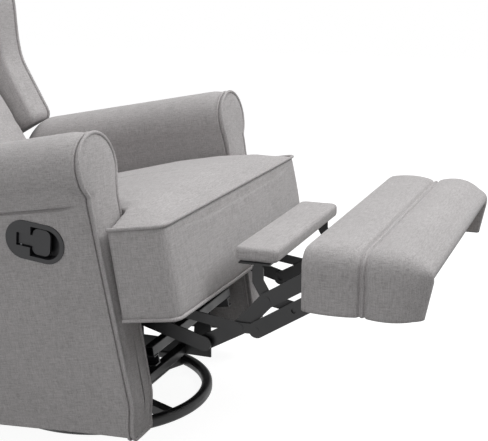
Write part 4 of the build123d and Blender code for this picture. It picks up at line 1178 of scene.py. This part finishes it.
    def build(self) -> None:
        """Make the cushion, wings, bands and outside cover."""
        cushion = self.cushion()
        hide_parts("back_cushion")
        outside = self.outside()
        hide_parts("outside_back")
        wings = self.wing(-1.0) + self.wing(1.0)
        bands = [self.side_band(-1.0), self.side_band(1.0), self.top_band()]
        for piece in [cushion, outside, *wings, *bands]:
            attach(piece, Body.BACK.value)
        log.info("back: cushion, wings and outside cover")


@dataclass
class RearPanel:
    """The fabric panel across the back of the body, below the reclining back."""

    fabric: bpy.types.Material
    half_width: float = 277.0
    back: float = -285.0
    bottom: float = 75.0
    top: float = 250.0

    def build(self) -> None:
        """A thin padded plate between the arms."""
        h = self.half_width
        corners = [(-h, self.bottom), (h, self.bottom), (h, self.top), (-h, self.top)]
        outline = resample(corner_rounded(corners, 8.0), 120, closed=True)
        spine = np.column_stack([np.clip(outline[:, 0], -210, 210), np.clip(outline[:, 1], 160, 165)])
        place = placer(TIPPED.body, [1, 0, 2])
        piece = padded_plate(
            "rear_panel_cover", outline, spine, self.back, self.back + 12.0, 4.0, (3.0, 0.0), place,
            self.fabric,
        )
        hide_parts("rear_body_panel")
        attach(piece, Body.CARRIAGE.value)
        log.info("rear panel")


@dataclass
class DustCloth:
    """The thin cloth stapled under the seat frame, made black as painted shade under the seat: it sags a
    little between the rails.
    """

    cloth: bpy.types.Material
    half_width: float = 262.0
    back: float = -184.0
    front: float = 366.0
    level: float = 300.6
    sag: float = 2.0
    thickness: float = 0.8
    count: int = 25  # points along each edge

    def build(self) -> None:
        """A sheet of two faces with a rim between them. It hangs lowest in its middle."""
        n = self.count
        across = np.linspace(-self.half_width, self.half_width, n)
        forward = np.linspace(self.back, self.front, n)
        grid_a, grid_f = np.meshgrid(across, forward)
        bow = (1 - (grid_a / self.half_width) ** 2) * np.sin(
            np.pi * (grid_f - self.back) / (self.front - self.back)
        )
        under = np.stack([grid_a, grid_f, self.level - self.sag * bow], -1)
        upper = under + np.array([0.0, 0.0, self.thickness])
        number = np.arange(n * n).reshape(n, n)
        quads = np.stack([number[:-1, :-1], number[:-1, 1:], number[1:, 1:], number[1:, :-1]], -1)
        quads = quads.reshape(-1, 4)
        rim = np.r_[number[0], number[1:, -1], number[-1, -2::-1], number[-2:0:-1, 0]]
        after = np.roll(rim, -1)
        walls = np.stack([rim, after, after + n * n, rim + n * n], -1)
        faces = np.vstack([quads, quads + n * n, walls]).tolist()
        points = np.vstack([under.reshape(-1, 3), upper.reshape(-1, 3)])
        piece = new_piece("dust_cloth_painted_shade", TIPPED.body(points), faces, self.cloth)
        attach(piece, Body.CARRIAGE.value)
        log.info("dust cloth")


# ---------------------------------------------------------------- hard parts
@dataclass
class HardParts:
    """Finishes for the CAD nodes that stay."""

    frame: dict
    finishes: dict[str, bpy.types.Material] = field(default_factory=dict)

    def build(self) -> None:
        """Give each CAD node the material of its slot in the record."""
        slots = {row["node"]: row["material_slot"] for row in self.frame["record"]["subparts"]}
        for name, piece in self.frame["nodes"].items():
            material = self.finishes[slots[name]]
            for place in piece.material_slots:
                place.material = material
            if not piece.material_slots:
                piece.data.materials.append(material)
        log.info("hard parts: %d nodes", len(slots))


# ---------------------------------------------------------------- studio
@dataclass
class Studio:
    """Floor, backdrop, lamps and the camera of the photograph."""

    lens_mm: float = 74.85
    azimuth_deg: float = -69.09
    elevation_deg: float = 14.01
    place_mm: tuple[float, float, float] = (-1900.6, -1060.4, 934.8)
    floor_half: float = 9.0
    floor_glow: float = 0.93
    paper: str = "#8c8c8c"
    world_light: float = 0.27
    aim: tuple[float, float, float] = (0.0, -0.1, 0.45)  # metres, as are the lamps' places
    lights: tuple = (  # name, place, watts, side
        ("key", (1.3, -2.6, 3.5), 90.0, 2.2), ("fill", (-3.4, -0.3, 0.7), 31.0, 2.4),
        ("top", (0.1, -0.2, 3.7), 50.0, 2.4),
    )

    @staticmethod
    def looking(tree: bpy.types.NodeTree) -> bpy.types.NodeSocket:
        """1 for camera, glossy and transmission rays, and 0 for those that light the object."""
        ray = node(tree, "ShaderNodeLightPath")
        sharp = node(
            tree, "ShaderNodeMath",
            {0: ray.outputs["Is Camera Ray"], 1: ray.outputs["Is Glossy Ray"]}, operation="MAXIMUM",
        )
        seen = node(
            tree, "ShaderNodeMath",
            {0: sharp.outputs[0], 1: ray.outputs["Is Transmission Ray"]}, operation="MAXIMUM",
        )
        return seen.outputs[0]

    def backdrop(self) -> bpy.types.Material:
        """White to what looks at it, grey to the lamps.

        The glow is a little under white, and the lit paint adds the rest, so that the far floor
        comes out white and the shadow under the chair stays.
        """
        material, tree = blank_material("matt_white_paper")
        paint = node(tree, "ShaderNodeBsdfDiffuse", {"Color": linear(self.paper)})
        glow = node(
            tree, "ShaderNodeMath", {0: self.looking(tree), 1: self.floor_glow}, operation="MULTIPLY"
        )
        white = node(tree, "ShaderNodeEmission", {"Color": (1, 1, 1, 1), "Strength": glow.outputs[0]})
        both = node(tree, "ShaderNodeAddShader", {0: paint.outputs[0], 1: white.outputs[0]})
        node(tree, "ShaderNodeOutputMaterial", {"Surface": both.outputs[0]})
        return material

    def floor(self) -> None:
        """A flat pale floor far past the frame."""
        h = self.floor_half
        corners = np.array([(-h, -h, 0.0), (h, -h, 0.0), (h, h, 0.0), (-h, h, 0.0)])
        floor = new_piece("studio_floor", corners, [[0, 1, 2, 3]], self.backdrop())

    def lamps(self) -> None:
        """A large key from the front and above, a fill from the lever side, one on top, a white world."""
        for name, place, power, size in self.lights:
            lamp = bpy.data.lights.new(name, "AREA")
            lamp.energy = power
            lamp.size = size
            holder = bpy.data.objects.new(name, lamp)
            holder.location = place
            direction = Vector(self.aim) - Vector(place)
            holder.rotation_euler = direction.to_track_quat("-Z", "Y").to_euler()
            bpy.context.scene.collection.objects.link(holder)
        world = bpy.data.worlds.new("studio_world")
        world.use_nodes = True
        tree = world.node_tree
        tree.nodes.clear()
        strength = node(tree, "ShaderNodeMapRange", {
            "Value": self.looking(tree), "From Min": 0.0, "From Max": 1.0,
            "To Min": self.world_light, "To Max": 1.0,
        })
        sky = node(tree, "ShaderNodeBackground", {
            "Color": (1, 1, 1, 1), "Strength": strength.outputs[0],
        })
        node(tree, "ShaderNodeOutputWorld", {"Surface": sky.outputs[0]})
        bpy.context.scene.world = world

    def camera(self) -> None:
        """The solved camera: placed behind its own axis, turned by azimuth and elevation."""
        lens = bpy.data.cameras.new("photo_camera")
        lens.lens = self.lens_mm
        lens.sensor_width = 36.0
        lens.sensor_fit = "HORIZONTAL"
        holder = bpy.data.objects.new("photo_camera", lens)
        holder.location = [v / 1000 for v in self.place_mm]
        azimuth, elevation = radians(self.azimuth_deg), radians(self.elevation_deg)
        back = Vector((
            np.sin(azimuth) * np.cos(elevation), -np.cos(azimuth) * np.cos(elevation), np.sin(elevation),
        ))
        holder.rotation_euler = back.to_track_quat("Z", "Y").to_euler()
        bpy.context.scene.collection.objects.link(holder)
        bpy.context.scene.camera = holder

    def build(self) -> None:
        """Set up the whole studio."""
        self.floor()
        self.lamps()
        self.camera()
        bpy.context.scene.view_settings.view_transform = "Standard"


def main() -> None:
    """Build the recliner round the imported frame."""
    logging.basicConfig(level=logging.INFO, format="%(name)s: %(message)s")
    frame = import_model()
    Studio().build()
    tilt = TIPPED.tilt_deg
    body_fabric = WovenFabric(turn_deg=tilt).build()
    level_fabric = WovenFabric(name="woven_polyester_level").build()
    back_fabric = WovenFabric(name="woven_polyester_back", turn_deg=tilt + TIPPED.lean_deg).build()
    finishes = {
        Slot.UPHOLSTERY.value: body_fabric,
        Slot.TIMBER.value: Plywood().build(),
        Slot.BLACK_STEEL.value: PaintedSteel("powder_coat_black", "#0c0c0e", "#161618").build(),
        Slot.GREY_STEEL.value: PaintedSteel("powder_coat_charcoal", "#18181a", "#262628").build(),
        Slot.BRIGHT_STEEL.value: ZincSteel().build(),
        Slot.LEVER_PLASTIC.value: MouldedPlastic().build(),
    }
    HardParts(frame, finishes).build()
    Seat(body_fabric).build()
    for side in (-1.0, 1.0):
        Arm(body_fabric, side).build()
    Footrest(level_fabric).build()
    Flipper(level_fabric).build()
    Back(back_fabric).build()
    RearPanel(body_fabric).build()
    # a real dust cloth, but near-black as painted shade, so that the underside of the seat comes out dark
    painted_shade_cloth = WovenFabric(
        name="non_woven_painted_shade_black", light_yarn="#1f1f20", middle_yarn="#18181a",
        dark_yarn="#111112", turn_deg=tilt, sheen=0.0,
    ).build()
    DustCloth(painted_shade_cloth).build()


if __name__ == "__main__":
    main()
